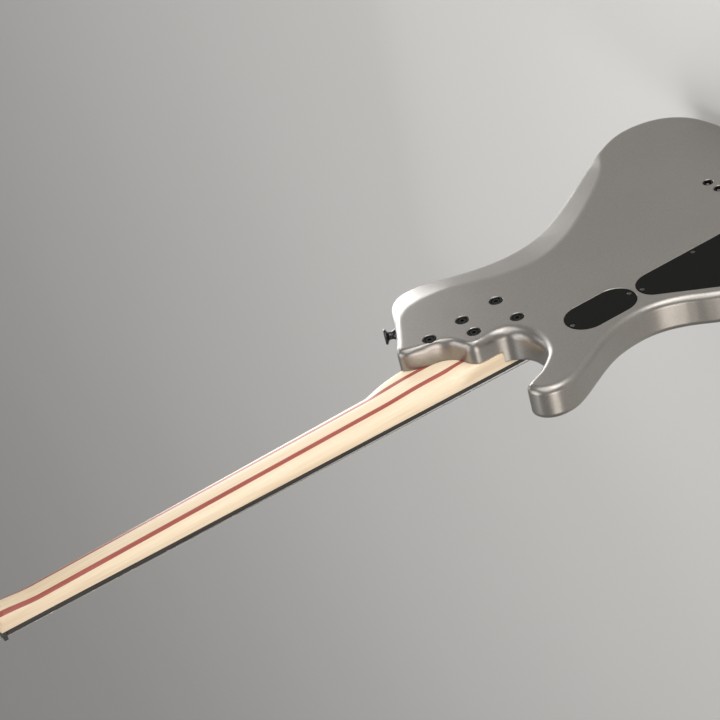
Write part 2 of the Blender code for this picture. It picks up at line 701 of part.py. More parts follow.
def neck_blank():
    """The shaft with its heel, joined to the headstock and bored for it."""
    heel_full = NECK_END_Z + HEEL_LENGTH
    volute_top = HEAD_STEP + HEAD_THICKNESS + VOLUTE_RISE
    treble_end = NECK_END_Z + TREBLE_HEEL_LENGTH
    rings = [neck_ring(NECK_END_Z, HEEL_DEPTH, 1.0)]
    for share in (0.0, 0.25, 0.5, 0.75, 1.0):
        rings.append(neck_ring(treble_end + TREBLE_FLARE * share, HEEL_DEPTH, 1.0))
    rings.append(neck_ring(heel_full, HEEL_DEPTH, 1.0))
    for share in (0.25, 0.5, 0.75, 1.0):
        z = heel_full + HEEL_FLARE * share
        rings.append(neck_ring(z, blend(HEEL_DEPTH, NECK_DEPTH_AT_BODY, share), 1 - share))
    start = heel_full + HEEL_FLARE
    for share in (0.5, 1.0):
        z = start + (VOLUTE_START - start) * share
        depth = NECK_DEPTH_AT_BODY + (NECK_DEPTH_AT_NUT - NECK_DEPTH_AT_BODY) * share
        rings.append(neck_ring(z, depth, 0.0))
    for share in (0.2, 0.4, 0.6, 0.8, 1.0):
        z = VOLUTE_START + (VOLUTE_END - VOLUTE_START) * share
        rings.append(neck_ring(z, blend(NECK_DEPTH_AT_NUT, volute_top, share), 0.0))
    rings.append(neck_ring(NUT_THICKNESS, volute_top, 0.0))
    shaft = loft(rings, "shaft")

    half = smooth_path(HEAD_HALF_OUTLINE + ((0.0, HEAD_TIP),), False, OUTLINE_TURN)
    right = [(point.x, point.y) for point in half]
    left = [(-x, z) for x, z in reversed(right[:-1])]
    head = slab(right + left, 0.0, HEAD_THICKNESS, HEAD_EDGE_RADIUS, 0)
    head.transform(HEAD_FRAME)
    low, high = ROOT_SPAN
    root = loft([root_ring(low, HEAD_STEP, volute_top - 2 * ROOT_INSET),
                 root_ring(high, head_front_y(high), head_back_y(high) - ROOT_INSET)], "root")
    blank = combined_mesh(shaft, "UNION", head, root)
    rear = HEAD_THICKNESS + 2 * PAST
    tools = [rod_channel(), rod_pocket()]
    for x, z in tuner_places():
        tools.append(head_bore(x, z, POST_SHAFT_RADIUS + GAP + BUSHING_WALL + GAP, -PAST, rear, 10))
        tools.append(head_bore(x, z + HOUSING_SCREW_Z, TUNER_SCREW_RADIUS + HOLE_CLEARANCE,
                               HEAD_THICKNESS - TUNER_SCREW_LENGTH - GAP, rear, 6))
    for x, z in rod_cover_screw_places():
        tools.append(head_bore(x, z, ROD_SCREW_RADIUS + HOLE_CLEARANCE, -PAST, ROD_SCREW_LENGTH, 6))
    for x, up in BOLT_PLACES:
        z = NECK_END_Z + up
        tools.append(cylinder(BOLT_RADIUS + HOLE_CLEARANCE, (x, BOLT_TIP_UNDER_FRETBOARD - GAP, z),
                              (x, HEEL_DEPTH + PAST, z), 8))
    return combined_mesh(blank, "DIFFERENCE", *tools)


def root_ring(z, front, back):
    return [(-ROOT_FRONT_WIDTH / 2, front, z), (ROOT_FRONT_WIDTH / 2, front, z),
            (ROOT_BACK_WIDTH / 2, back, z), (-ROOT_BACK_WIDTH / 2, back, z)]


def head_bore(x, z, radius, front, back, sides):
    """A bore through the headstock, square to its face."""
    return cylinder(radius, HEAD_FRAME @ Vector((x, front, z)), HEAD_FRAME @ Vector((x, back, z)),
                    sides)


def rod_channel():
    """The channel for the truss rod, open under the fretboard."""
    width = 2 * (ROD_RADIUS + GAP)
    depth = ROD_AXIS_DEPTH + ROD_RADIUS + GAP
    length = ROD_LENGTH + 2 * GAP
    return box((width, depth + PAST, length), (0, (depth - PAST) / 2, -length / 2))


def rod_pocket():
    depth = ROD_AXIS_DEPTH + ROD_NUT_RADIUS + 2 * GAP
    pocket = box((ROD_POCKET_WIDTH, depth + PAST, ROD_POCKET_LENGTH),
                 (0, (depth - PAST) / 2, NUT_THICKNESS + ROD_POCKET_WALL + ROD_POCKET_LENGTH / 2))
    bridge = cylinder(ROD_RADIUS + GAP, (0, ROD_AXIS_DEPTH, -ROD_POCKET_WALL),
                      (0, ROD_AXIS_DEPTH, NUT_THICKNESS + 2 * ROD_POCKET_WALL), 10)
    return combined_mesh(pocket, "UNION", bridge)


def tuner_places():
    """Post places in the headstock's frame, in string order."""
    return ((-TUNER_OFFSET, TUNER_NEAR), (-TUNER_OFFSET, TUNER_FAR),
            (TUNER_OFFSET, TUNER_FAR), (TUNER_OFFSET, TUNER_NEAR))


def side_of(x):
    return 1 if x > 0 else -1


def make_neck():
    add_node("neck", neck_blank(), "maple")


def gathered_meshes(meshes):
    form = bmesh.new()
    for mesh in meshes:
        form.from_mesh(mesh)
    result = bpy.data.meshes.new(meshes[0].name + "_set")
    form.to_mesh(result)
    form.free()
    return result


BOARD_SHARES = (-1.0, -0.36, 0.36, 1.0)


def board_ring(z, gap):
    """A cross-section of the fretboard, cambered on the string side."""
    edge = half_width(z)
    ring = [(edge * share, -FRETBOARD_THICKNESS + board_drop(edge * share), z)
            for share in BOARD_SHARES]
    return ring + [(edge, -gap, z), (-edge, -gap, z)]


def make_fretboard():
    """The cambered board with its frets seated in it."""
    board = loft([board_ring(NECK_END_Z, GAP), board_ring(-GAP, GAP)])
    crown, sunk = FRET_WIDTH / 2, FRET_HEIGHT / 2
    shape = [(-crown, sunk), (-crown, 0), (-crown * 0.45, -FRET_HEIGHT), (crown * 0.45, -FRET_HEIGHT),
             (crown, 0), (crown, sunk)]
    frets = []
    for number in range(1, FRET_COUNT + 1):
        z = fret_z(number)
        rings = []
        for share in BOARD_SHARES:
            x = half_width(z) * share
            base = board_drop(x) - FRETBOARD_THICKNESS
            inset = x * (1 - GAP / abs(x))
            rings.append([(inset, base + y, z + along) for along, y in shape])
        frets.append(loft(rings))
    add_node("fretboard", combined_mesh(board, "UNION", gathered_meshes(frets)), "black_wood")


def string_x_at_nut(number):
    return (number - 1.5) * NUT_STRING_PITCH


def string_x_at_bridge(number):
    return (number - 1.5) * BRIDGE_STRING_PITCH


def make_nut():
    top = NUT_STRING_Y - max(STRING_DIAMETERS) + NUT_UNDER_STRING_TOPS
    block = box((NUT_WIDTH, -GAP - top, NUT_THICKNESS - GAP), (0, (top - GAP) / 2, NUT_THICKNESS / 2))
    nut = add_node("nut", block, "black_plastic")
    slots = []
    for number, diameter in enumerate(STRING_DIAMETERS):
        width = diameter + 2 * HOLE_CLEARANCE
        floor = NUT_STRING_Y + HOLE_CLEARANCE
        deep = floor - top + PAST
        slots.append(box((width, deep, NUT_THICKNESS + 2 * PAST),
                         (string_x_at_nut(number), floor - deep / 2, NUT_THICKNESS / 2)))
    combine(nut, "string_slots", gathered_meshes(slots))


def make_truss_rod():
    nut_start = NUT_THICKNESS + ROD_NUT_FROM_SHELF
    nut_end = nut_start + ROD_NUT_LENGTH
    socket = nut_end - ROD_SOCKET_DEPTH
    profile = [(0, socket), (ROD_SOCKET_RADIUS, socket), (ROD_SOCKET_RADIUS, nut_end),
               (ROD_NUT_RADIUS, nut_end), (ROD_NUT_RADIUS, nut_start), (ROD_RADIUS, nut_start),
               (ROD_RADIUS, -ROD_LENGTH), (0, -ROD_LENGTH)]
    rod = turned(profile, 10)
    add_node("truss_rod", rod, "rod_steel", Matrix.Translation((0, ROD_AXIS_DEPTH, 0)))


def rod_cover_screw_places():
    low, high = ROD_COVER_START, ROD_COVER_START + ROD_COVER_LENGTH
    side = ROD_COVER_WIDTH / 2 - ROD_SCREW_INSET
    return ((-side, low + ROD_SCREW_INSET), (side, low + ROD_SCREW_INSET), (0.0, high - ROD_SCREW_INSET))


def make_rod_cover(head):
    """A small cover over the rod's nut, held by three screws."""
    wide, narrow = ROD_COVER_WIDTH / 2, ROD_COVER_WIDTH / 3
    low = ROD_COVER_START
    high = low + ROD_COVER_LENGTH
    corner = ROD_COVER_CORNER
    circles = [(sign * (wide - corner), low + corner, corner) for sign in (-1, 1)]
    circles += [(sign * (narrow - corner), high - corner, corner) for sign in (-1, 1)]
    top = -GAP - ROD_COVER_THICKNESS
    cover = slab(hull_of_circles(circles, 0.0, 8), top, -GAP)
    screws = [cylinder(ROD_SCREW_RADIUS, (x, top + SCREW_RECESS, z), (x, ROD_SCREW_LENGTH - GAP, z), 6)
              for x, z in rod_cover_screw_places()]
    recesses = [cylinder(ROD_SCREW_HEAD_RADIUS, (x, top - PAST, z), (x, top + SCREW_RECESS, z), 8)
                for x, z in rod_cover_screw_places()]
    cover = combined_mesh(cover, "UNION", *screws)
    cover = combined_mesh(cover, "DIFFERENCE", *recesses)
    add_node("truss_rod_cover", cover, "black_plastic", parent=head)


def key_depth():
    """How far behind the headstock's front face the key's shaft lies."""
    return HEAD_THICKNESS + GAP + HOUSING_DEPTH / 2 + HOUSING_BASE / 2


def key_mesh():
    """A clover-shaped finger key on its shaft, which runs along local +X."""
    outline = []
    middle = KEY_REACH + KEY_SIZE * KEY_SQUASH
    for i in range(KEY_POINTS):
        angle = 2 * math.pi * i / KEY_POINTS
        radius = KEY_SIZE * (1 + KEY_LOBE_RISE * math.cos(KEY_LOBES * angle))
        outline.append((middle + radius * math.cos(angle) * KEY_SQUASH, radius * math.sin(angle)))
    paddle = slab(outline, -KEY_THICKNESS / 2, KEY_THICKNESS / 2, KEY_EDGE, 0)
    start = HOUSING_WIDTH / 2 - KEY_DEPTH_IN_HOUSING
    shaft = cylinder(KEY_SHAFT_RADIUS, (start, 0, 0), (KEY_REACH + KEY_SHAFT_IN_PADDLE, 0, 0), 8)
    edge = HOUSING_WIDTH / 2 + GAP
    collar = cylinder(KEY_COLLAR_RADIUS, (edge, 0, 0), (edge + KEY_COLLAR, 0, 0), 10)
    return combined_mesh(shaft, "UNION", paddle, collar)


def post_mesh(slot_floor, slot_angle):
    """A slotted string post, local Z out of the headstock's face."""
    waist_low = GAP + BUSHING_FLANGE + GAP + POST_FLANGE
    waist_high = POST_HEIGHT - POST_TOP_THICKNESS
    tail = -HEAD_THICKNESS - GAP - POST_DEPTH_IN_HOUSING
    post = turned([(0, POST_HEIGHT), (POST_FLANGE_RADIUS, POST_HEIGHT), (POST_FLANGE_RADIUS, waist_high),
                   (POST_RADIUS, waist_high), (POST_RADIUS, waist_low), (POST_FLANGE_RADIUS, waist_low),
                   (POST_FLANGE_RADIUS, waist_low - POST_FLANGE),
                   (POST_SHAFT_RADIUS, waist_low - POST_FLANGE), (POST_SHAFT_RADIUS, tail),
                   (0, tail)], 10)
    slot = box((4 * POST_FLANGE_RADIUS, POST_SLOT_WIDTH, POST_HEIGHT - slot_floor + PAST),
               (0, 0, (POST_HEIGHT + slot_floor + PAST) / 2))
    slot.transform(Matrix.Rotation(slot_angle, 4, "Z"))
    return combined_mesh(post, "DIFFERENCE", slot)


def housing_mesh(side):
    """A closed gear housing with its base, its screw and the sleeve through the headstock."""
    front = HEAD_THICKNESS + GAP
    length = HOUSING_TOP + HOUSING_BOTTOM
    middle = (HOUSING_TOP - HOUSING_BOTTOM) / 2
    case = slab(rounded_rectangle(HOUSING_WIDTH, length, HOUSING_CORNER, (0, middle), 8), front,
                front + HOUSING_DEPTH)
    lug = (0, HOUSING_SCREW_Z, HOUSING_LUG_RADIUS)
    corner = HOUSING_CORNER * 0.8
    inset = HOUSING_CORNER * 1.2
    corners = [(sign * (HOUSING_WIDTH / 2 - inset), z, corner) for sign in (-1, 1)
               for z in (HOUSING_TOP - inset, inset - HOUSING_BOTTOM)]
    base = slab(hull_of_circles([lug] + corners, 0.0, 8), front, front + HOUSING_BASE)
    sleeve_radius = POST_SHAFT_RADIUS + GAP + BUSHING_WALL
    sleeve = cylinder(sleeve_radius, (0, -GAP - BUSHING_FLANGE / 2, 0), (0, front + HOUSING_BASE, 0), 10)
    flange = cylinder(BUSHING_FLANGE_RADIUS, (0, -GAP - BUSHING_FLANGE, 0), (0, -GAP, 0), 10)
    back = front + HOUSING_BASE
    screw = cylinder(TUNER_SCREW_RADIUS, (0, HEAD_THICKNESS - TUNER_SCREW_LENGTH, HOUSING_SCREW_Z),
                     (0, back, HOUSING_SCREW_Z), 6)
    head = cylinder(TUNER_SCREW_HEAD_RADIUS, (0, back - HOUSING_BASE / 2, HOUSING_SCREW_Z),
                    (0, back + TUNER_SCREW_HEAD, HOUSING_SCREW_Z), 8)
    case = combined_mesh(case, "UNION", base, sleeve, flange, screw, head)
    post_bore = cylinder(POST_SHAFT_RADIUS + GAP, (0, -PAST, 0),
                         (0, front + POST_DEPTH_IN_HOUSING + GAP, 0), 10)
    deep = HOUSING_WIDTH / 2 - KEY_DEPTH_IN_HOUSING - GAP
    key_bore = cylinder(KEY_SHAFT_RADIUS + GAP, (side * deep, key_depth(), -KEY_SETBACK),
                        (side * (HOUSING_WIDTH / 2 + PAST), key_depth(), -KEY_SETBACK), 8)
    return combined_mesh(case, "DIFFERENCE", post_bore, key_bore)


def make_tuners(head):
    out = Matrix.Rotation(math.pi / 2, 4, "X")
    for number, (name, (x, z)) in enumerate(zip(STRING_NAMES, tuner_places())):
        side = side_of(x)
        place = Matrix.Translation((x, 0, z))
        add_node(f"tuner_housing_{name}", housing_mesh(side), "black_metal", place, head)
        route = StringRoute(number)
        add_node(f"tuner_post_{name}", post_mesh(route.slot_floor(), route.slot_angle), "black_metal",
                 place @ out, head)
        key = key_mesh()
        if side < 0:
            key.transform(Matrix.Rotation(math.pi, 4, "Y"))
        key_place = Matrix.Translation((x, key_depth(), z - KEY_SETBACK))
        add_node(f"tuner_key_{name}", key, "black_metal", key_place, head)


def moved(mesh, matrix):
    copy = mesh.copy()
    copy.transform(matrix)
    return copy


def body_outline():
    knots = raised(BODY_OUTLINE)
    return [(point.x, point.y) for point in smooth_path(knots, True, OUTLINE_TURN)]


def contour_cutter():
    """What the sloped contour takes off the back of the bass side."""
    outer = smooth_stations([station[0] for station in CONTOUR_STATIONS])
    inner = smooth_stations([station[1] for station in CONTOUR_STATIONS])
    drops = smooth_stations([(station[2], 0.0) for station in CONTOUR_STATIONS])
    above = BODY_BACK + PAST
    rings = []
    for out, inn, drop in zip(outer, inner, drops):
        away = (out - inn).normalized()
        slope = drop.x / (out - inn).length
        start = inn - away * CONTOUR_OVERLAP
        end = out + away * CONTOUR_REACH
        start_y = BODY_BACK + CONTOUR_OVERLAP * slope
        end_y = BODY_BACK - drop.x - CONTOUR_REACH * slope
        rings.append([(start.x, start_y, start.y + BRIDGE_Z), (end.x, end_y, end.y + BRIDGE_Z),
                      (end.x, above, end.y + BRIDGE_Z), (start.x, above, start.y + BRIDGE_Z)])
    return loft(rings, "contour")


def smooth_stations(points):
    """The same count of points between each pair of stations."""
    knots = [Vector(point) for point in points]
    path = []
    for i in range(len(knots) - 1):
        before = knots[max(i - 1, 0)]
        after = knots[min(i + 2, len(knots) - 1)]
        leave, arrive = (knots[i + 1] - before) / 2, (after - knots[i]) / 2
        for step in range(CONTOUR_STEPS):
            t = step / CONTOUR_STEPS
            path.append(knots[i] * (2 * t ** 3 - 3 * t ** 2 + 1) + leave * (t ** 3 - 2 * t ** 2 + t)
                        + knots[i + 1] * (3 * t ** 2 - 2 * t ** 3) + arrive * (t ** 3 - t ** 2))
    path.append(knots[-1])
    return path


def heel_roll_cutter():
    """What the rolled edge of the heel and cutaway takes off the back."""
    path = [Vector(point) for point in body_outline()]
    knots = [Vector(point) for point in raised(BODY_OUTLINE)][HEEL_ROLL_FIRST:]
    stops = [min(range(len(path)), key=lambda i: (path[i] - knot).length)
             for knot in knots[:len(HEEL_ROLL)]]
    rings = []
    for number, (low, high) in enumerate(zip(stops, stops[1:])):
        (inset, depth), (next_inset, next_depth) = HEEL_ROLL[number:number + 2]
        for i in range(low, high):
            share = (i - low) / (high - low)
            along = (path[i + 1] - path[i]).normalized()
            rings.append(roll_ring((path[i] + path[i + 1]) / 2, Vector((along.y, -along.x)),
                                   inset + (next_inset - inset) * share,
                                   depth + (next_depth - depth) * share))
    return loft(rings, "heel_roll")


def roll_ring(corner, outward, inset, depth):
    """The cutter's section at a point of the outline: all that lies outside a quarter ellipse."""
    curve = []
    for step in range(HEEL_ROLL_STEPS + 1):
        angle = math.pi / 2 * step / HEEL_ROLL_STEPS
        curve.append(Vector((inset * (math.sin(angle) - 1), BODY_BACK - depth * (1 - math.cos(angle)))))
    over = curve[0] + (curve[0] - curve[1]).normalized() * HEEL_ROLL_OVERLAP
    under = curve[-1] + (curve[-1] - curve[-2]).normalized() * HEEL_ROLL_OVERLAP
    section = [over, *curve[1:-1], under, Vector((HEEL_ROLL_REACH, under.y)),
               Vector((HEEL_ROLL_REACH, BODY_BACK + PAST)), Vector((over.x, BODY_BACK + PAST))]
    return [(corner.x + outward.x * out, y, corner.y + outward.y * out) for out, y in section]


def pocket_cutter():
    """The neck pocket, open towards the neck and the strings."""
    bottom, top = NECK_END_Z - GAP, NECK_END_Z + POCKET_REACH
    low, high = half_width(bottom) + GAP, half_width(top) + GAP
    outline = [(-low, bottom), (low, bottom), (high, top), (-high, top)]
    return slab(outline, BODY_FRONT - PAST, HEEL_DEPTH + GAP)


def back_hole(x, z, steps, sides=10):
    mesh = stepped_hole(steps, sides)
    mesh.transform(aimed((x, BODY_BACK, z), (0, 1, 0)))
    return mesh


def front_hole(x, z, radius, depth, sides=10):
    mesh = stepped_hole([(radius, depth)], sides)
    mesh.transform(aimed((x, BODY_FRONT, z), (0, -1, 0)))
    return mesh


def pot_places():
    count = len(KNOB_NAMES)
    first, last = Vector(POT_FIRST), Vector(POT_LAST)
    return raised([tuple(first.lerp(last, i / (count - 1))) for i in range(count)])


def pickup_place(name):
    return BRIDGE_Z + PICKUP_PLACES[name]


PICKUP_FLOOR = BODY_FRONT - PICKUP_ABOVE_BODY + PICKUP_HEIGHT + GAP
CONTROL_FLOOR = BODY_FRONT + FRONT_WALL
BATTERY_FLOOR = BODY_BACK - COVER_THICKNESS - 3 * GAP - BATTERY_SIZE[1] - GAP


def horn_button_base():
    return Vector((HORN_BUTTON_PLACE[0], BODY_FRONT + BUTTON_DEPTH_IN_BODY,
                   HORN_BUTTON_PLACE[1] + BRIDGE_Z))


def end_button_base():
    return Vector((END_BUTTON_PLACE[0], BODY_FRONT + BUTTON_DEPTH_IN_BODY,
                   END_BUTTON_PLACE[1] + BRIDGE_Z))


def button_frames():
    horn = Vector((HORN_BUTTON_DIRECTION[0], 0, HORN_BUTTON_DIRECTION[1]))
    return (("upper", aimed(horn_button_base(), horn)),
            ("end", aimed(end_button_base(), (0, 0, -1))))


def jack_frame():
    """Where the jack's flange seats on the side of the body, local Z outwards."""
    side_x = max(x for x, z in body_outline() if abs(z - BRIDGE_Z - JACK_HEIGHT) < JACK_FLANGE_RADIUS)
    return aimed((side_x - JACK_SEAT, BODY_FRONT + JACK_DEPTH_IN_BODY, BRIDGE_Z + JACK_HEIGHT),
                 (1, 0, 0))


def make_body():
    blank = slab(body_outline(), BODY_FRONT, BODY_BACK, EDGE_RADIUS, 1)
    body = add_node("body", blank, "silver_paint")
    combine(body, "contour", contour_cutter())
    combine(body, "heel_roll", heel_roll_cutter())
    combine(body, "neck_pocket", pocket_cutter())

    for name in PICKUP_PLACES:
        outline = rounded_rectangle(PICKUP_LENGTH + 2 * PICKUP_SLACK, PICKUP_WIDTH + 2 * PICKUP_SLACK,
                                    PICKUP_CORNER_RADIUS + PICKUP_SLACK, (0, pickup_place(name)), 12)
        combine(body, f"{name}_pickup_cavity", slab(outline, BODY_FRONT - PAST, PICKUP_FLOOR))

    recess = BODY_BACK - COVER_THICKNESS - GAP
    for name, circles, ledge, floor in (
            ("control", CONTROL_COVER_CIRCLES, CONTROL_LEDGE, CONTROL_FLOOR),
            ("battery", BATTERY_COVER_CIRCLES, BATTERY_LEDGE, BATTERY_FLOOR)):
        circles = raised(circles)
        combine(body, f"{name}_recess",
                slab(hull_of_circles(circles, -GAP), recess, BODY_BACK + PAST))
        combine(body, f"{name}_cavity",
                slab(hull_of_circles(circles, ledge), floor, BODY_BACK + PAST))

    holes = []
    for x, up in BOLT_PLACES:
        holes.append(back_hole(x, NECK_END_Z + up, [
            (BOLT_FERRULE_RADIUS + HOLE_CLEARANCE, BOLT_FERRULE_DEPTH + GAP),
            (BOLT_RADIUS + HOLE_CLEARANCE, BODY_THICKNESS)]))
    for number in range(len(STRING_NAMES)):
        holes.append(back_hole(string_x_at_bridge(number), STRING_HOLE_Z, [
            (STRING_FERRULE_RADIUS + HOLE_CLEARANCE, STRING_FERRULE_DEPTH + GAP),
            (STRING_HOLE_RADIUS, BODY_THICKNESS + PAST)], 8))
    for x, z in raised(CONTROL_SCREW_PLACES + BATTERY_SCREW_PLACES):
        holes.append(back_hole(x, z, [(COVER_SCREW_RADIUS + HOLE_CLEARANCE,
                                       COVER_THICKNESS + COVER_SCREW_LENGTH + GAP)], 6))
    for x, z in raised(BRIDGE_SCREW_PLACES):
        holes.append(front_hole(x, z, BRIDGE_SCREW_RADIUS + HOLE_CLEARANCE, BRIDGE_SCREW_LENGTH, 6))
    for x, z in pot_places():
        holes.append(front_hole(x, z, POT_BUSHING_RADIUS + HOLE_CLEARANCE, FRONT_WALL + PAST))
    for x, z in pickup_screw_places():
        mesh = cylinder(PICKUP_SCREW_RADIUS + HOLE_CLEARANCE, (x, PICKUP_FLOOR - PAST, z),
                        (x, PICKUP_FLOOR + PICKUP_SCREW_BITE + GAP, z), 6)
        holes.append(mesh)
    combine(body, "drilled_holes", gathered_meshes(holes))

    seats = []
    for name, frame in button_frames():
        seats.append(moved(stepped_hole([(BUTTON_HEAD_RADIUS, 0.0),
                                         (BUTTON_SCREW_RADIUS + HOLE_CLEARANCE, BUTTON_SCREW_LENGTH + GAP)],
                                        12), frame))
    seats.append(moved(stepped_hole([(JACK_FLANGE_RADIUS + GAP, 0.0),
                                     (JACK_BARREL_RADIUS + HOLE_CLEARANCE, JACK_HOLE_DEPTH)],
                                    12), jack_frame()))
    combine(body, "button_and_jack_seats", gathered_meshes(seats))

    depth = BODY_FRONT + WIRE_CHANNEL_DEPTH
    low, high = pickup_place("bridge"), pickup_place("neck")
    side = PICKUP_LENGTH / 2
    battery_depth = BATTERY_FLOOR + BATTERY_CHANNEL_RISE
    channels = [cylinder(WIRE_CHANNEL_RADIUS, start, end, 6) for start, end in (
        ((LINK_CHANNEL_X, depth, low), (LINK_CHANNEL_X, depth, high)),
        ((side - CONTROL_CHANNEL_START, depth, low), (side + CONTROL_CHANNEL_REACH, depth, low)),
        ((BATTERY_CHANNEL_X, battery_depth, BRIDGE_Z + BATTERY_CHANNEL_SPAN[1]),
         (BATTERY_CHANNEL_X, battery_depth, BRIDGE_Z + BATTERY_CHANNEL_SPAN[0])))]
    combine(body, "wire_channels", gathered_meshes(channels))


def make_neck_bolts():
    """Bolts through the back, each with the recessed ferrule under its head."""
    floor = BOLT_FERRULE_WALL - BOLT_FERRULE_DEPTH
    head_top = floor + BOLT_HEAD
    cup = BOLT_HEAD_RADIUS + HOLE_CLEARANCE
    length = BODY_BACK - BOLT_TIP_UNDER_FRETBOARD
    for number, (x, up) in enumerate(BOLT_PLACES):
        bolt = turned([(0, head_top), (BOLT_HEAD_RADIUS, head_top), (BOLT_HEAD_RADIUS, floor),
                       (cup, floor), (cup, 0.0), (BOLT_FERRULE_RADIUS, 0.0),
                       (BOLT_FERRULE_RADIUS, -BOLT_FERRULE_DEPTH), (BOLT_RADIUS, -BOLT_FERRULE_DEPTH),
                       (BOLT_RADIUS, -length), (0, -length)], 10)
        place = aimed((x, BODY_BACK - FERRULE_SINK, NECK_END_Z + up), (0, 1, 0))
        add_node(f"neck_bolt_{number + 1}", bolt, "black_metal", place)


def make_string_ferrules():
    """Cups in the back that hold the strings' ball ends."""
    floor = STRING_FERRULE_WALL - STRING_FERRULE_DEPTH
    cup = STRING_FERRULE_RADIUS - STRING_FERRULE_WALL
    ferrule = turned([(STRING_HOLE_RADIUS, floor), (cup, floor), (cup, 0.0),
                      (STRING_FERRULE_RADIUS, 0.0), (STRING_FERRULE_RADIUS, -STRING_FERRULE_DEPTH),
                      (STRING_HOLE_RADIUS, -STRING_FERRULE_DEPTH), (STRING_HOLE_RADIUS, floor)], 8)
    for number, name in enumerate(STRING_NAMES):
        place = aimed((string_x_at_bridge(number), BODY_BACK - FERRULE_SINK, STRING_HOLE_Z), (0, 1, 0))
        add_node(f"string_ferrule_{name}", ferrule.copy(), "black_metal", place)


def make_bridge():
    """The plate with its rear wall, bored for strings and screws."""
    middle = (BRIDGE_FRONT - BRIDGE_BACK) / 2 + BRIDGE_Z
    length = BRIDGE_FRONT + BRIDGE_BACK
    outline = rounded_rectangle(BRIDGE_WIDTH, length, BRIDGE_CORNER, (0, middle), 8)
    base = slab(outline, BRIDGE_TOP - GAP, BODY_FRONT - GAP)
    foot = BRIDGE_TOP + BRIDGE_PLATE / 4
    wall = box((BRIDGE_WIDTH - 2 * BRIDGE_CORNER, BRIDGE_WALL_HEIGHT, BRIDGE_WALL),
               (0, foot - BRIDGE_WALL_HEIGHT / 2, BRIDGE_REAR + BRIDGE_WALL / 2 + BRIDGE_WALL_INSET))
    rails = [box((BRIDGE_RAIL, BRIDGE_RAIL_HEIGHT, BRIDGE_BACK - BRIDGE_WALL),
                 (sign * (2 * BRIDGE_STRING_PITCH + BRIDGE_RAIL / 2 + GAP), foot - BRIDGE_RAIL_HEIGHT / 2,
                  BRIDGE_Z - (BRIDGE_BACK - BRIDGE_WALL) / 2)) for sign in (-1, 1)]
    plate = combined_mesh(base, "UNION", wall, *rails)
    holes = []
    for number in range(len(STRING_NAMES)):
        x = string_x_at_bridge(number)
        holes.append(box((2 * STRING_HOLE_RADIUS, 2 * PAST, BRIDGE_SLOT_LENGTH),
                         (x, BRIDGE_TOP, STRING_HOLE_Z + BRIDGE_SLOT_SHIFT)))
        screw_x = x + INTONATION_SCREW_OFFSET
        y = intonation_y()
        holes.append(cylinder(INTONATION_SCREW_RADIUS + HOLE_CLEARANCE, (screw_x, y, BRIDGE_REAR - PAST),
                              (screw_x, y, BRIDGE_REAR + BRIDGE_WALL + PAST), 8))
    plate = combined_mesh(plate, "DIFFERENCE", *holes)
    screws = []
    for x, z in raised(BRIDGE_SCREW_PLACES):
        screws.append(cylinder(BRIDGE_SCREW_RADIUS, (x, BRIDGE_TOP, z),
                               (x, BODY_FRONT + BRIDGE_SCREW_LENGTH - GAP, z), 6))
        screws.append(cylinder(BRIDGE_SCREW_HEAD_RADIUS, (x, BRIDGE_TOP - BRIDGE_SCREW_HEAD, z),
                               (x, BRIDGE_TOP + BRIDGE_PLATE / 3, z), 8))
    add_node("bridge_plate", combined_mesh(plate, "UNION", *screws), "black_metal")


def intonation_y():
    return BRIDGE_TOP - INTONATION_SCREW_HEIGHT


def saddle_string_y(number):
    """The string's centre line where it leaves the saddle."""
    return SADDLE_STRING_Y - STRING_DIAMETERS[number] / 2


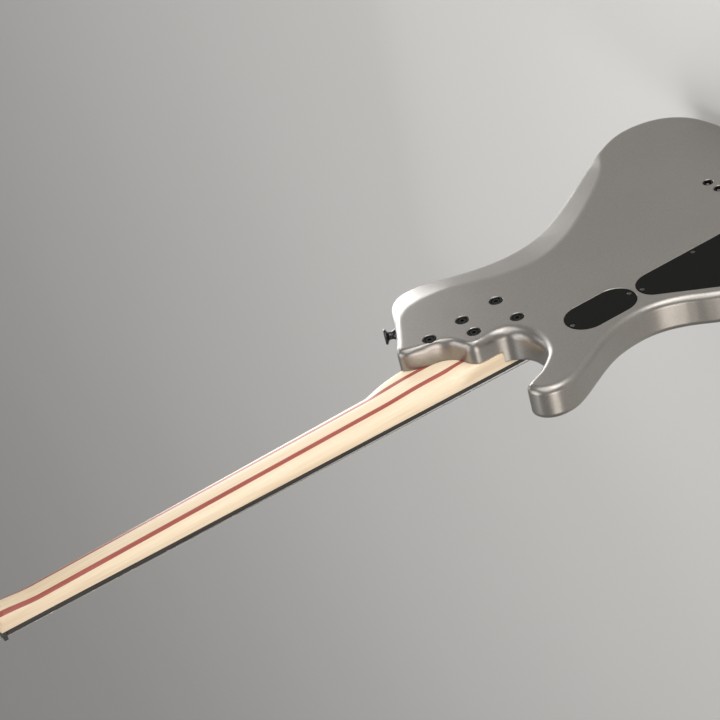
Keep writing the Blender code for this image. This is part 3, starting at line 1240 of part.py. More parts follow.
def make_saddles():
    for number, name in enumerate(STRING_NAMES):
        x = string_x_at_bridge(number)
        z = BRIDGE_Z - SADDLE_SETBACKS[number]
        radius = STRING_DIAMETERS[number] / 2
        crest = saddle_string_y(number) + radius + HOLE_CLEARANCE
        half = BRIDGE_STRING_PITCH / 2 - SADDLE_SPACING
        floor = BRIDGE_TOP - GAP - SADDLE_FLOOR_GAP
        shoulder = crest + SADDLE_SHOULDER
        block = box((2 * half, floor - shoulder, SADDLE_FRONT + SADDLE_BACK),
                    (0, (floor + shoulder) / 2, (SADDLE_FRONT - SADDLE_BACK) / 2))
        ridge = loft([[(side * RIDGE_HALF_WIDTH, shoulder + RIDGE_ROOT, SADDLE_FRONT),
                       (side * RIDGE_HALF_WIDTH, crest + RIDGE_FALL, SADDLE_FRONT - RIDGE_ROOT),
                       (side * RIDGE_HALF_WIDTH, crest, 0.0),
                       (side * RIDGE_HALF_WIDTH, shoulder + RIDGE_ROOT, -RIDGE_BACK)]
                      for side in (-1, 1)])
        body = combined_mesh(block, "UNION", ridge)
        drop = (BRIDGE_TOP - crest) / (STRING_HOLE_FROM_SADDLE - SADDLE_SETBACKS[number])
        edge = max(STRING_DIAMETERS) / 2 + HOLE_CLEARANCE
        far = SADDLE_BACK + GROOVE_OVERRUN
        groove = loft([[(side * edge, crest - GROOVE_HEIGHT, GROOVE_FRONT),
                        (side * edge, crest - GROOVE_HEIGHT, -far),
                        (side * edge, crest + drop * far + GROOVE_TAIL_SINK, -far),
                        (side * edge, crest + GROOVE_CREST_SINK, -GROOVE_CREST_BACK)]
                       for side in (-1, 1)])
        y = intonation_y()
        screw_bore = cylinder(INTONATION_SCREW_RADIUS + HOLE_CLEARANCE,
                              (INTONATION_SCREW_OFFSET, y, -SADDLE_BACK - PAST),
                              (INTONATION_SCREW_OFFSET, y, SADDLE_FRONT + PAST), 8)
        grubs = [cylinder(GRUB_RADIUS, (side * GRUB_OFFSET, BRIDGE_TOP - 2 * GAP, -GRUB_SETBACK),
                          (side * GRUB_OFFSET, shoulder - GRUB_RISE, -GRUB_SETBACK), 6)
                 for side in (-1, 1)]
        body = combined_mesh(body, "DIFFERENCE", groove, screw_bore)
        add_node(f"saddle_{name}", combined_mesh(body, "UNION", *grubs), "black_metal",
                 Matrix.Translation((x, 0, z)))
        make_intonation_screw(name, x + INTONATION_SCREW_OFFSET, z)


def make_intonation_screw(name, x, saddle_z):
    """The screw behind a saddle, its head against the outside of the rear wall."""
    seat = BRIDGE_REAR + BRIDGE_WALL_INSET
    tip = saddle_z + SADDLE_FRONT + INTONATION_TIP - seat
    profile = [(0, tip), (INTONATION_SCREW_RADIUS, tip), (INTONATION_SCREW_RADIUS, -GAP),
               (INTONATION_HEAD_RADIUS, -GAP), (INTONATION_HEAD_RADIUS, -GAP - INTONATION_HEAD),
               (0, -GAP - INTONATION_HEAD)]
    add_node(f"intonation_screw_{name}", turned(profile, 8), "steel",
             Matrix.Translation((x, intonation_y(), seat)))


def make_pickups():
    """Covers with their mounting screws, each over a coil block."""
    top = BODY_FRONT - PICKUP_ABOVE_BODY
    bottom = top + PICKUP_HEIGHT
    inner_length = PICKUP_LENGTH - 2 * PICKUP_WALL - 4 * PICKUP_SCREW_INSET
    inner_width = PICKUP_WIDTH - 2 * PICKUP_WALL
    for name in PICKUP_PLACES:
        z = pickup_place(name)
        outline = rounded_rectangle(PICKUP_LENGTH, PICKUP_WIDTH, PICKUP_CORNER_RADIUS, (0, z), 12)
        cover = slab(outline, top, bottom, PICKUP_EDGE, 0)
        hollow = box((inner_length, PICKUP_HEIGHT, inner_width),
                     (0, top + PICKUP_WALL + PICKUP_HEIGHT / 2, z))
        recesses = [cylinder(PICKUP_SCREW_HEAD_RADIUS, (x, top - PAST, screw_z),
                             (x, top + SCREW_RECESS, screw_z), 8)
                    for x, screw_z in pickup_screw_places(name)]
        screws = [cylinder(PICKUP_SCREW_RADIUS, (x, bottom - PICKUP_WALL, screw_z),
                           (x, bottom + PICKUP_SCREW_BITE, screw_z), 6)
                  for x, screw_z in pickup_screw_places(name)]
        cover = combined_mesh(cover, "DIFFERENCE", hollow, *recesses)
        add_node(f"pickup_cover_{name}", combined_mesh(cover, "UNION", *screws), "black_plastic")
        depth = PICKUP_HEIGHT - PICKUP_WALL - GAP
        coil = box((inner_length - 2 * GAP, depth, inner_width - 2 * GAP), (0, bottom - depth / 2, z))
        add_node(f"pickup_coil_{name}", coil, "coil_block")


def pickup_screw_places(only=None):
    places = []
    for name in PICKUP_PLACES:
        if only in (None, name):
            for side in (-1, 1):
                x = side * (PICKUP_LENGTH / 2 - PICKUP_SCREW_INSET)
                for up in (-1, 1):
                    z = pickup_place(name) + up * (PICKUP_WIDTH / 2 - PICKUP_SCREW_SIDE_INSET)
                    places.append((x, z))
    return places


def make_covers():
    """Flush covers over the two cavities in the back."""
    low = BODY_BACK - COVER_THICKNESS
    for name, circles, places in (
            ("control_cover", CONTROL_COVER_CIRCLES, CONTROL_SCREW_PLACES),
            ("battery_cover", BATTERY_COVER_CIRCLES, BATTERY_SCREW_PLACES)):
        cover = slab(hull_of_circles(raised(circles)), low, BODY_BACK)
        recesses = [cylinder(COVER_SCREW_HEAD_RADIUS, (x, BODY_BACK - SCREW_RECESS, z),
                             (x, BODY_BACK + PAST, z), 8) for x, z in raised(places)]
        screws = [cylinder(COVER_SCREW_RADIUS, (x, BODY_BACK - 2 * SCREW_RECESS, z),
                           (x, low - COVER_SCREW_LENGTH, z), 6) for x, z in raised(places)]
        cover = combined_mesh(cover, "DIFFERENCE", *recesses)
        add_node(name, combined_mesh(cover, "UNION", *screws), "black_plastic")


def make_electronics():
    circles = raised(BATTERY_COVER_CIRCLES)
    z = sum(circle[1] for circle in circles) / len(circles)
    x = circles[0][0]
    width, depth, height = BATTERY_SIZE
    y = BATTERY_FLOOR + GAP + depth / 2
    case = box((width, depth, height - TERMINAL_RISE), (x, y, z - TERMINAL_RISE / 2))
    top = z + height / 2
    terminals = [cylinder(TERMINAL_RADIUS, (x + side * TERMINAL_OFFSET, y, top - 1.5 * TERMINAL_RISE),
                          (x + side * TERMINAL_OFFSET, y, top), 8) for side in (-1, 1)]
    add_node("battery", combined_mesh(case, "UNION", *terminals), "battery_case")

    width, thickness, height = BOARD_SIZE
    board_x, board_z = BOARD_PLACE[0], BOARD_PLACE[1] + BRIDGE_Z
    floor = CONTROL_FLOOR + GAP
    board = box((width, thickness, height), (board_x, floor + thickness / 2, board_z))
    top = floor + thickness
    blocks = [box((wide, tall + GAP, long), (board_x + across, top + (tall - GAP) / 2, board_z + up))
              for wide, tall, long, across, up in BOARD_BLOCKS]
    add_node("preamp_board", combined_mesh(board, "UNION", *blocks), "circuit_board")


def make_controls():
    """Pots under the front wall with their nuts, and the knobs with their shafts."""
    bore = POT_SHAFT_RADIUS + GAP
    flange = -FRONT_WALL - GAP
    rear = flange - POT_BODY
    nut_top = GAP + POT_NUT
    pot = turned([(0, rear + POT_WALL), (bore, rear + POT_WALL), (bore, POT_BUSHING_RISE),
                  (POT_BUSHING_RADIUS, POT_BUSHING_RISE), (POT_BUSHING_RADIUS, nut_top),
                  (POT_NUT_RADIUS, nut_top), (POT_NUT_RADIUS, GAP), (POT_BUSHING_RADIUS, GAP),
                  (POT_BUSHING_RADIUS, flange), (POT_RADIUS, flange), (POT_RADIUS, rear), (0, rear)], 10)
    low, high = KNOB_FLOAT, KNOB_FLOAT + KNOB_HEIGHT
    skirt = KNOB_RADIUS - KNOB_WALL
    shaft_end = rear + POT_WALL + GAP
    knob = turned([(0, high), (KNOB_RADIUS - KNOB_CHAMFER, high),
                   (KNOB_RADIUS - KNOB_TAPER, high - KNOB_CHAMFER),
                   (KNOB_RADIUS, low), (skirt, low), (skirt, low + KNOB_SKIRT_DEPTH),
                   (POT_SHAFT_RADIUS, low + KNOB_SKIRT_DEPTH), (POT_SHAFT_RADIUS, shaft_end),
                   (0, shaft_end)], 12)
    for name, (x, z) in zip(KNOB_NAMES, pot_places()):
        frame = aimed((x, BODY_FRONT, z), (0, -1, 0))
        add_node(f"pot_{name}", pot.copy(), "steel", frame)
        add_node(f"knob_{name}", knob.copy(), "black_metal", frame)


def make_jack():
    """A barrel jack in the side of the body, with its bore open to the plug."""
    start = GAP
    floor = JACK_WALL - JACK_LENGTH
    barrel = turned([(0, floor), (JACK_BORE_RADIUS, floor), (JACK_BORE_RADIUS, start + JACK_FLANGE),
                     (JACK_FLANGE_RADIUS, start + JACK_FLANGE), (JACK_FLANGE_RADIUS, start),
                     (JACK_BARREL_RADIUS, start), (JACK_BARREL_RADIUS, -JACK_LENGTH),
                     (0, -JACK_LENGTH)], 12)
    add_node("output_jack", barrel, "black_metal", jack_frame())


def make_strap_buttons():
    """Buttons for a strap, each with the screw that holds it."""
    top = BUTTON_HEIGHT
    button = turned([(0, top - SCREW_RECESS), (BUTTON_SCREW_HEAD_RADIUS, top - SCREW_RECESS),
                     (BUTTON_SCREW_HEAD_RADIUS, top), (BUTTON_HEAD_RADIUS - BUTTON_LIP, top),
                     (BUTTON_HEAD_RADIUS, top - BUTTON_RIM), (BUTTON_NECK_RADIUS, top - BUTTON_HEAD_DEPTH),
                     (BUTTON_NECK_RADIUS, BUTTON_BASE_HEIGHT), (BUTTON_BASE_RADIUS, GAP),
                     (BUTTON_SCREW_RADIUS, GAP), (BUTTON_SCREW_RADIUS, GAP - BUTTON_SCREW_LENGTH),
                     (0, GAP - BUTTON_SCREW_LENGTH)], 10)
    for name, frame in button_frames():
        add_node(f"strap_button_{name}", button.copy(), "black_metal", frame)


class StringRoute:
    """The centre line of one string, from its ball end to the slot in its post."""

    def __init__(self, number):
        self.number = number
        self.radius = STRING_DIAMETERS[number] / 2
        self.post_x, self.post_z = tuner_places()[number]
        self.sense = -side_of(self.post_x)
        self.wind = POST_RADIUS + GAP + self.radius
        self.pitch = STRING_DIAMETERS[number] + WINDING_GAP
        self.nut_exit = Vector((string_x_at_nut(number), NUT_STRING_Y - self.radius,
                                NUT_THICKNESS - 0.0006))
        start = HEAD_FRAME.inverted() @ self.nut_exit
        away = Vector((start.x - self.post_x, start.z - self.post_z))
        self.touch = math.atan2(away.y, away.x) + self.sense * math.acos(self.wind / away.length)
        self.last = self.touch + self.sense * 2 * math.pi * STRING_TURNS
        self.lean = math.asin(WINDING_BEND / (self.wind - WINDING_BEND))
        self.slot_angle = self.last + self.sense * self.lean

    def height(self, turns):
        """Height of the centre line over the headstock's face after some turns."""
        return WINDING_START + self.radius + self.pitch * turns

    def slot_floor(self):
        return self.height(STRING_TURNS) - self.radius - GAP

    def over_post(self, radius, angle, turns):
        return Vector((self.post_x + radius * math.cos(angle), -self.height(turns),
                       self.post_z + radius * math.sin(angle)))

    def winding(self):
        """The loops round the post and the bend into its slot, in the headstock's frame."""
        points = []
        for i in range(STRING_TURNS * LOOP_POINTS + 1):
            turns = i / LOOP_POINTS
            points.append(self.over_post(self.wind, self.touch + self.sense * 2 * math.pi * turns, turns))
        bend_centre = self.over_post(self.wind - WINDING_BEND, self.last, STRING_TURNS)
        sweep = self.lean + math.pi / 2
        for step in range(1, 5):
            angle = self.last + self.sense * sweep * step / 4
            points.append(bend_centre + WINDING_BEND * Vector((math.cos(angle), 0, math.sin(angle))))
        points.append(self.over_post(0.0005, self.slot_angle, STRING_TURNS))
        return points

    def lower_end(self):
        """From the ball end through the body, over the saddle and up to the nut."""
        x = string_x_at_bridge(self.number)
        crest_z = BRIDGE_Z - SADDLE_SETBACKS[self.number]
        crest_y = saddle_string_y(self.number)
        ball_y = (BODY_BACK - STRING_FERRULE_DEPTH + STRING_FERRULE_WALL + BALL_END_RADIUS
                  + FERRULE_SINK + GAP)
        return [Vector((x, ball_y, STRING_HOLE_Z)), Vector((x, BRIDGE_TOP + 0.0005, STRING_HOLE_Z)),
                Vector((x, BRIDGE_TOP - 0.0010, STRING_HOLE_Z + 0.0008)),
                Vector((x, crest_y + 0.0009, crest_z - 0.0022)),
                Vector((x, crest_y + 0.0002, crest_z - 0.0008)), Vector((x, crest_y, crest_z + 0.0006))]

    def points(self):
        nut_entry = self.nut_exit + Vector((0, 0, 0.0010 - NUT_THICKNESS))
        return self.lower_end() + [nut_entry, self.nut_exit] + [
            HEAD_FRAME @ point for point in self.winding()]


def least_gap(points, radius, ignore):
    """The least clear distance between stretches of one tube that aren't neighbours."""
    places = np.array([tuple(point) for point in points])
    steps = np.linalg.norm(np.diff(places, axis=0), axis=1)
    run = np.concatenate([[0.0], np.cumsum(steps)])
    apart = np.linalg.norm(places[:, None] - places[None], axis=2)
    far_along = np.abs(run[:, None] - run[None]) > ignore
    return float(apart[far_along].min() - 2 * radius)


def make_strings():
    for number, name in enumerate(STRING_NAMES):
        route = StringRoute(number)
        winding = route.winding()
        gap = least_gap(winding, route.radius, 2 * route.wind)
        print(f"string_{name}: least gap between its turns {gap * 1000:.2f} mm")
        points = route.points()
        curve = bpy.data.curves.new(f"string_{name}", "CURVE")
        curve.dimensions = "3D"
        curve.bevel_depth = route.radius
        curve.bevel_resolution = 1
        curve.use_fill_caps = True
        spline = curve.splines.new("POLY")
        spline.points.add(len(points) - 1)
        for point, place in zip(spline.points, points):
            point.co = (*place, 1)
        shape = bpy.data.objects.new(f"string_{name}", curve)
        CUTTERS.objects.link(shape)
        tube = welded(evaluated_mesh(shape))
        end = points[0]
        half = Vector((BALL_END_RADIUS * 0.9, 0, 0))
        ball = cylinder(BALL_END_RADIUS, end - half, end + half, 8)
        add_node(f"string_{name}", combined_mesh(tube, "UNION", ball), "string_metal")


def main():
    head = bpy.data.objects.new("headstock_frame", None)
    PARTS.objects.link(head)
    head.matrix_world = HEAD_FRAME
    make_neck()
    make_fretboard()
    make_nut()
    make_truss_rod()
    make_rod_cover(head)
    make_tuners(head)
    make_body()
    make_neck_bolts()
    make_string_ferrules()
    make_bridge()
    make_saddles()
    make_pickups()
    make_covers()
    make_electronics()
    make_controls()
    make_jack()
    make_strap_buttons()
    make_strings()


main()
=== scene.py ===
"""The looks of a four-string electric bass guitar, seen from behind.

All lengths are in metres in the frame of the CAD: +Z up the neck, the strings towards
-Y, the flat back towards +Y and the thickest string on the -X side. The origin lies
where the strings leave the nut.
"""
import json
import math

import bmesh
import bpy
import numpy as np
from mathutils import Matrix, Vector
from mathutils.geometry import delaunay_2d_cdt


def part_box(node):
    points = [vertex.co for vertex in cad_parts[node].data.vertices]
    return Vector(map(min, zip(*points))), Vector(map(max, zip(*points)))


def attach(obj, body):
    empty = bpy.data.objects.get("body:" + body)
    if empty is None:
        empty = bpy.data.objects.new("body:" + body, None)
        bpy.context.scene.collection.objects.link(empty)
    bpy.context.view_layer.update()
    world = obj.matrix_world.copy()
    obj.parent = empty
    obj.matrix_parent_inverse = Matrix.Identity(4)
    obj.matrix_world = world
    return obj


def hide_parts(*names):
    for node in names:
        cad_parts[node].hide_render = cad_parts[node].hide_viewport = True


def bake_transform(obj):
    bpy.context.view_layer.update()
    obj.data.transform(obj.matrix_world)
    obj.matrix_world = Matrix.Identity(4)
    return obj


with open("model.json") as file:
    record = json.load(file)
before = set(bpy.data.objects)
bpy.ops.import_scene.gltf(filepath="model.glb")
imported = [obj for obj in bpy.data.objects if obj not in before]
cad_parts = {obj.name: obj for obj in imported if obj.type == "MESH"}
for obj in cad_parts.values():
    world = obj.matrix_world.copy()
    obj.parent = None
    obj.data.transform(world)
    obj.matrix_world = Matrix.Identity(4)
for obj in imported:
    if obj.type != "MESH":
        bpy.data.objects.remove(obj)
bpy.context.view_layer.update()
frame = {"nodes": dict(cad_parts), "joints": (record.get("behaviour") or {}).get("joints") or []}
JOINTS = {joint["name"]: joint for joint in frame["joints"]}
ROOT = "instrument"

# Camera, as fitted to the photo
PHOTO_SIZE = 720.0
FOCAL_PIXELS = 2800.0
OPTICAL_CENTRE = (360.0, 372.5)
SENSOR = 36.0
CAMERA_PLACE = (2.1477, 1.5844, 0.5033)
CAMERA_RIGHT = (0.5136, -0.2132, -0.8311)
CAMERA_AWAY = (-0.7682, -0.5458, -0.3347)

# Strings, from the lowest to the highest
SCALE_LENGTH = 0.8636
FRET_COUNT = 24
STRING_NAMES = ("e", "a", "d", "g")
STRING_DIAMETERS = (0.00267, 0.00216, 0.00165, 0.00114)
NUT_STRING_PITCH = 0.0098
BRIDGE_STRING_PITCH = 0.0190
SADDLE_SETBACKS = (0.0040, 0.0026, 0.0014, 0.0)
NUT_STRING_Y = -0.0078
SADDLE_STRING_Y = -0.0118
STRING_TURNS = 2
LOOP_POINTS = 24
WINDING_GAP = 0.0006
WINDING_START = 0.0052
WINDING_BEND = 0.0020
POST_RADIUS = 0.0055
BALL_END_RADIUS = 0.0024
WRAP_ROOT = 0.90
CREST_POINT = 5
STRING_BEND_REACH = 0.10

# Neck, fretboard and headstock
GAP = 0.0003
PAST = 0.010
NUT_WIDTH = 0.0378
WIDTH_AT_LAST_FRET = 0.0620
NECK_DEPTH_AT_NUT = 0.0138
NECK_DEPTH_AT_BODY = 0.0165
NECK_ROUNDNESS = 2.2
HEEL_ROUNDNESS = 9.0
HEEL_DEPTH = 0.0185
HEEL_LENGTH = 0.1650
TREBLE_HEEL_LENGTH = 0.0950
TREBLE_FLARE = 0.0500
HEEL_FLARE = 0.055
VOLUTE_START = -0.0460
VOLUTE_END = 0.0020
VOLUTE_RISE = 0.0020
NECK_SIDES = 40
FRETBOARD_THICKNESS = 0.0060
FRETBOARD_RADIUS = 0.350
FRETBOARD_OVERHANG = 0.0095
FRET_WIDTH = 0.0026
FRET_HEIGHT = 0.0012
NUT_THICKNESS = 0.0045
DOT_FRETS = (3, 5, 7, 9, 12, 15, 17, 19, 21, 24)
DOT_RADIUS = 0.0032
SIDE_DOT_RADIUS = 0.0011
DOT_DEPTH = 0.0010
DOT_PROUD = 0.00004
DOUBLE_DOT_OFFSET = 0.0120
BOARD_STEPS = 16
STRIPE_CENTRE = 0.0109
STRIPE_WIDTH = 0.0050
HEAD_TILT = math.radians(10.0)
HEAD_STEP = 0.0012
HEAD_THICKNESS = 0.0150
HEAD_EDGE_RADIUS = 0.0016
HEAD_HALF_OUTLINE = (
    (0.0192, 0.000), (0.0205, 0.012), (0.0270, 0.026), (0.0372, 0.040),
    (0.0408, 0.058), (0.0392, 0.086), (0.0372, 0.116), (0.0350, 0.142),
    (0.0300, 0.163), (0.0215, 0.176), (0.0105, 0.1835), (0.0, 0.1850),
)
ROOT_SPAN = (-0.0040, 0.0200)
ROOT_FRONT_WIDTH = 0.0380
ROOT_BACK_WIDTH = 0.0240
ROOT_INSET = 0.0010
ROD_COVER_START = 0.0050
ROD_COVER_LENGTH = 0.0400
ROD_COVER_WIDTH = 0.0240
ROD_COVER_THICKNESS = 0.0020
ROD_COVER_CORNER = 0.0030
ROD_SCREW_INSET = 0.0040
ROD_SCREW_RADIUS = 0.0019
ROD_SCREW_HEAD = 0.0005

# Tuners
TUNER_NEAR = 0.064
TUNER_FAR = 0.122
TUNER_OFFSET = 0.0255
SLEEVE_BORE_RADIUS = 0.0068
HOUSING_WIDTH = 0.0190
KEY_DEPTH_IN_HOUSING = 0.0070
KEY_SHAFT_RADIUS = 0.0026
KEY_COLLAR_RADIUS = 0.0042
KEY_COLLAR = 0.0030
KEY_REACH = 0.0290
KEY_SIZE = 0.0115
KEY_SQUASH = 0.72
KEY_THICKNESS = 0.0055
KEY_LOBES = 3
KEY_LOBE_RISE = 0.13

# Body: its outline is drawn from the point under the bridge saddles
BODY_FRONT = 0.0051
BODY_BACK = 0.0433
EDGE_RADIUS = 0.0078
EDGE_STEPS = 10
EDGE_AT_NECK = 0.0012
BEND_SHARE = 0.85
BOLT_CLEAR = 0.0064
STEEPEST_ROLL = 2.8
OUTLINE_STEP = 0.0026
BACK_STEP = 0.0026
BACK_CLEAR_SHARE = 0.7
BATCH = 2000
BODY_OUTLINE = (
    (-0.0300, 0.3731), (-0.0410, 0.3661), (-0.0715, 0.3491), (-0.0980, 0.3371),
    (-0.1190, 0.3246), (-0.1305, 0.3076), (-0.1295, 0.2836), (-0.1170, 0.2506),
    (-0.1055, 0.2156), (-0.1020, 0.1816), (-0.1090, 0.1436), (-0.1310, 0.0971),
    (-0.1600, 0.0516), (-0.1840, 0.0066), (-0.1964, -0.0344), (-0.1880, -0.0744),
    (-0.1630, -0.1004), (-0.1250, -0.1119), (-0.0750, -0.1134), (-0.0200, -0.1079),
    (0.0400, -0.0984), (0.0920, -0.0814), (0.1330, -0.0544), (0.1590, -0.0164),
    (0.1700, 0.0286), (0.1630, 0.0726), (0.1470, 0.0996), (0.1295, 0.1226),
    (0.1175, 0.1466), (0.1135, 0.1706), (0.1175, 0.2016), (0.1290, 0.2286),
    (0.1460, 0.2586), (0.1555, 0.2806), (0.1555, 0.3006), (0.1470, 0.3146),
    (0.1340, 0.3201), (0.1265, 0.3166), (0.1160, 0.2946), (0.0990, 0.2745),
    (0.0860, 0.2683), (0.0660, 0.2660), (0.0460, 0.2697), (0.0337, 0.2775),
    (0.0290, 0.2895), (0.0289, 0.3030), (0.0275, 0.3135), (0.0215, 0.3198),
    (0.0122, 0.3230), (0.0025, 0.3274), (-0.0052, 0.3376), (-0.0105, 0.3548),
    (-0.0165, 0.3692), (-0.0230, 0.3746),
)

# The rolled edge of the heel and cutaway: its inset and depth at consecutive outline points
HEEL_ROLL_FIRST = 38
HEEL_ROLL = (
    (0.0055, 0.0055), (0.0080, 0.0090), (0.0100, 0.0120), (0.0120, 0.0134),
    (0.0125, 0.0134), (0.0110, 0.0125), (0.0095, 0.0114), (0.0070, 0.0112),
    (0.0055, 0.0112), (0.0055, 0.0112), (0.0060, 0.0108), (0.0052, 0.0100),
    (0.0045, 0.0097), (0.0045, 0.0097), (0.0055, 0.0055),
)

# The sloped contour behind the bass side: outer point, inner point and drop
CONTOUR_STATIONS = (
    ((-0.2010, -0.0330), (-0.1985, -0.0330), 0.0010),
    ((-0.1830, 0.0100), (-0.1743, 0.0070), 0.0026),
    ((-0.1680, 0.0400), (-0.1438, 0.0304), 0.0075),
    ((-0.1428, 0.0840), (-0.1125, 0.0650), 0.0105),
    ((-0.1100, 0.1410), (-0.0746, 0.1167), 0.0120),
    ((-0.1024, 0.1640), (-0.0572, 0.1532), 0.0120),
    ((-0.1020, 0.1830), (-0.0506, 0.1843), 0.0120),
    ((-0.1040, 0.2080), (-0.0579, 0.2211), 0.0120),
    ((-0.1100, 0.2330), (-0.0699, 0.2475), 0.0120),
    ((-0.1205, 0.2600), (-0.0827, 0.2747), 0.0120),
    ((-0.1300, 0.2900), (-0.0874, 0.3033), 0.0120),
    ((-0.1290, 0.3160), (-0.0866, 0.3160), 0.0115),
    ((-0.1130, 0.3290), (-0.0846, 0.3253), 0.0080),
    ((-0.0900, 0.3405), (-0.0780, 0.3350), 0.0035),
    ((-0.0715, 0.3491), (-0.0680, 0.3440), 0.0015),
    ((-0.0450, 0.3630), (-0.0440, 0.3600), 0.0002),
)
CONTOUR_STEPS = 16
CREASE_SOFTNESS = 0.07

# What is let into the body
POCKET_REACH = 0.3000
BOLT_FERRULE_RADIUS = 0.0071
BOLT_FERRULE_DEPTH = 0.0065
BOLT_FERRULE_WALL = 0.0020
BOLT_HEAD_RADIUS = 0.0046
BOLT_HEAD = 0.0040
BOLT_HEAD_SLACK = 0.0006
BOLT_SOCKET_RADIUS = 0.0023
BOLT_SOCKET_DEPTH = 0.0022
STRING_HOLE_Z = -0.8916
STRING_HOLE_RADIUS = 0.0022
STRING_FERRULE_RADIUS = 0.0055
STRING_FERRULE_DEPTH = 0.0090
STRING_FERRULE_WALL = 0.0015
FERRULE_SINK = 0.0002
RIM = 0.0004
PICKUP_SLACK = 0.0008
PICKUP_FLOOR = 0.0169
PICKUP_SCREW_INSET = (0.0050, 0.0060)
PICKUP_SCREW_RADIUS = 0.0021
PICKUP_CORNER_RADIUS = 0.0060
PICKUP_EDGE = 0.0022
CONTROL_COVER_CIRCLES = (
    (0.0844, 0.1246, 0.0217), (0.1340, 0.0698, 0.0160), (0.0767, 0.0016, 0.0140),
)
BATTERY_COVER_CIRCLES = ((0.0780, 0.2090, 0.0228), (0.0780, 0.1735, 0.0228))
COVER_THICKNESS = 0.0022
COVER_EDGE = 0.00025
PAINT_LIP = 0.00045
BORE_LIP_SIDES = 37
CONTROL_LEDGE = 0.0085
BATTERY_LEDGE = 0.0075
CONTROL_FLOOR = 0.0111
BATTERY_FLOOR = 0.0224
CONTROL_SCREW_PLACES = (
    (0.0822, 0.1419), (0.0672, 0.0656), (0.1440, 0.0640), (0.0700, -0.0070),
)
BATTERY_SCREW_PLACES = ((0.0796, 0.2275), (0.0776, 0.1550))
SCREW_RECESS = 0.0005
SCREW_HEAD_RADIUS = 0.0025
SCREW_HEAD = 0.0006
SCREW_SHANK = 0.0008
SCREW_SLACK = 0.0004
SLOT_WIDTH = 0.0006
JACK_HOLE_RADIUS = 0.0065
JACK_HOLE_DEPTH = 0.0700
POT_HOLE_RADIUS = 0.0040

# Knobs and strap buttons
KNOB_RADIUS = 0.0087
KNOB_FLOAT = 0.0010
KNOB_HEIGHT = 0.0150
KNOB_SKIRT_DEPTH = 0.0045
KNOB_WALL = 0.0018
KNOB_CHAMFER = 0.0012
KNOB_RIDGES = 36
KNOB_RIDGE_DEPTH = 0.00025
KNOB_MARK_RADIUS = 0.0009
KNOB_MARK_PLACE = 0.62
POT_SHAFT_RADIUS = 0.0030
POT_SHAFT_END = -0.0130
BUTTON_HEIGHT = 0.0130
BUTTON_BASE_RADIUS = 0.0065
BUTTON_NECK_RADIUS = 0.0042
BUTTON_HEAD_RADIUS = 0.0085
BUTTON_SCREW_HEAD_RADIUS = 0.0040
BUTTON_SCREW_RADIUS = 0.0019
BUTTON_SCREW_LENGTH = 0.0260
BUTTON_Y = 0.0221
HORN_BUTTON_PLACE = (-0.0810, 0.3448)
HORN_BUTTON_DIRECTION = (-0.41, 0.912)
END_BUTTON_PLACE = (0.0, -0.1047)

BRIDGE_Z = -SCALE_LENGTH
LAST_FRET_Z = -SCALE_LENGTH * (1 - 2 ** (-FRET_COUNT / 12))
NECK_END_Z = LAST_FRET_Z - FRETBOARD_OVERHANG
HEAD_FRAME = (Matrix.Translation((0, HEAD_STEP, NUT_THICKNESS))
              @ Matrix.Rotation(-HEAD_TILT, 4, "X"))
FACING_BACK = Matrix.Rotation(-math.pi / 2, 4, "X")
FACING_FRONT = Matrix.Rotation(math.pi / 2, 4, "X")

# How meshes are closed, shaded and rounded
WELD = 0.000002
SAME_PLANE = math.radians(1)
ROUNDED_FROM = math.radians(35)
CREASED_FROM = math.radians(38)

# Stage and light
FLOOR_Z = -0.9900
FLOOR_SIZE = 60.0
FLOOR_COLOUR = (0.42, 0.415, 0.408)
FLOOR_SEEN_COLOUR = (0.66, 0.656, 0.648)
SKY_COLOUR = (1.0, 0.985, 0.96)
WORLD_STRENGTH = 0.32
MIDDLE = (0.0, 0.02, -0.55)
WHITE = (1.0, 1.0, 1.0)
LAMPS = (
    # name, place, aim, size, power, colour and spread in degrees
    ("contour_light", (-1.0, 0.12, -0.69), (-0.15, 0.04, -0.66), (1.2, 0.52), 1.8, WHITE, 70),
    ("heel_light", (0.45, 1.05, -0.70), (0.02, 0.04, -0.55), (1.0, 0.5), 1.05, WHITE, 70),
    ("roll_light", (-1.05, 0.05, 0.0), (0.0, 0.04, -0.60), (1.3, 0.6), 0.4, WHITE, 50),
    ("key_light", (0.86, 2.1, 0.25), MIDDLE, (3.2, 2.2), 26.8, (1.0, 0.98, 0.95), 140),
    ("edge_light", (2.15, -0.75, 0.0), MIDDLE, (1.3, 1.1), 10.5, (1.0, 0.93, 0.86), 140),
    ("top_light", (-0.2, -0.3, 2.6), MIDDLE, (2.4, 2.4), 32.0, WHITE, 150),
)


def add(tree, kind, inputs=None, **settings):
    """A shader node with its settings and the values of its sockets."""
    made = tree.nodes.new("ShaderNode" + kind)
    for key, value in settings.items():
        setattr(made, key, value)
    for key, value in (inputs or {}).items():
        made.inputs[key].default_value = value
    return made


def new_material(name, roughness, metallic=0.0, coat=0.0, coat_roughness=0.1, specular=0.5):
    made = bpy.data.materials.new(name)
    made.use_nodes = True
    shader = made.node_tree.nodes["Principled BSDF"]
    shader.inputs["Roughness"].default_value = roughness
    shader.inputs["Metallic"].default_value = metallic
    shader.inputs["Specular IOR Level"].default_value = specular
    shader.inputs["Coat Weight"].default_value = coat
    shader.inputs["Coat Roughness"].default_value = coat_roughness
    return made, made.node_tree, shader


def own_place(tree):
    """The place on a piece, in its own coordinates."""
    return add(tree, "TexCoord").outputs["Object"]


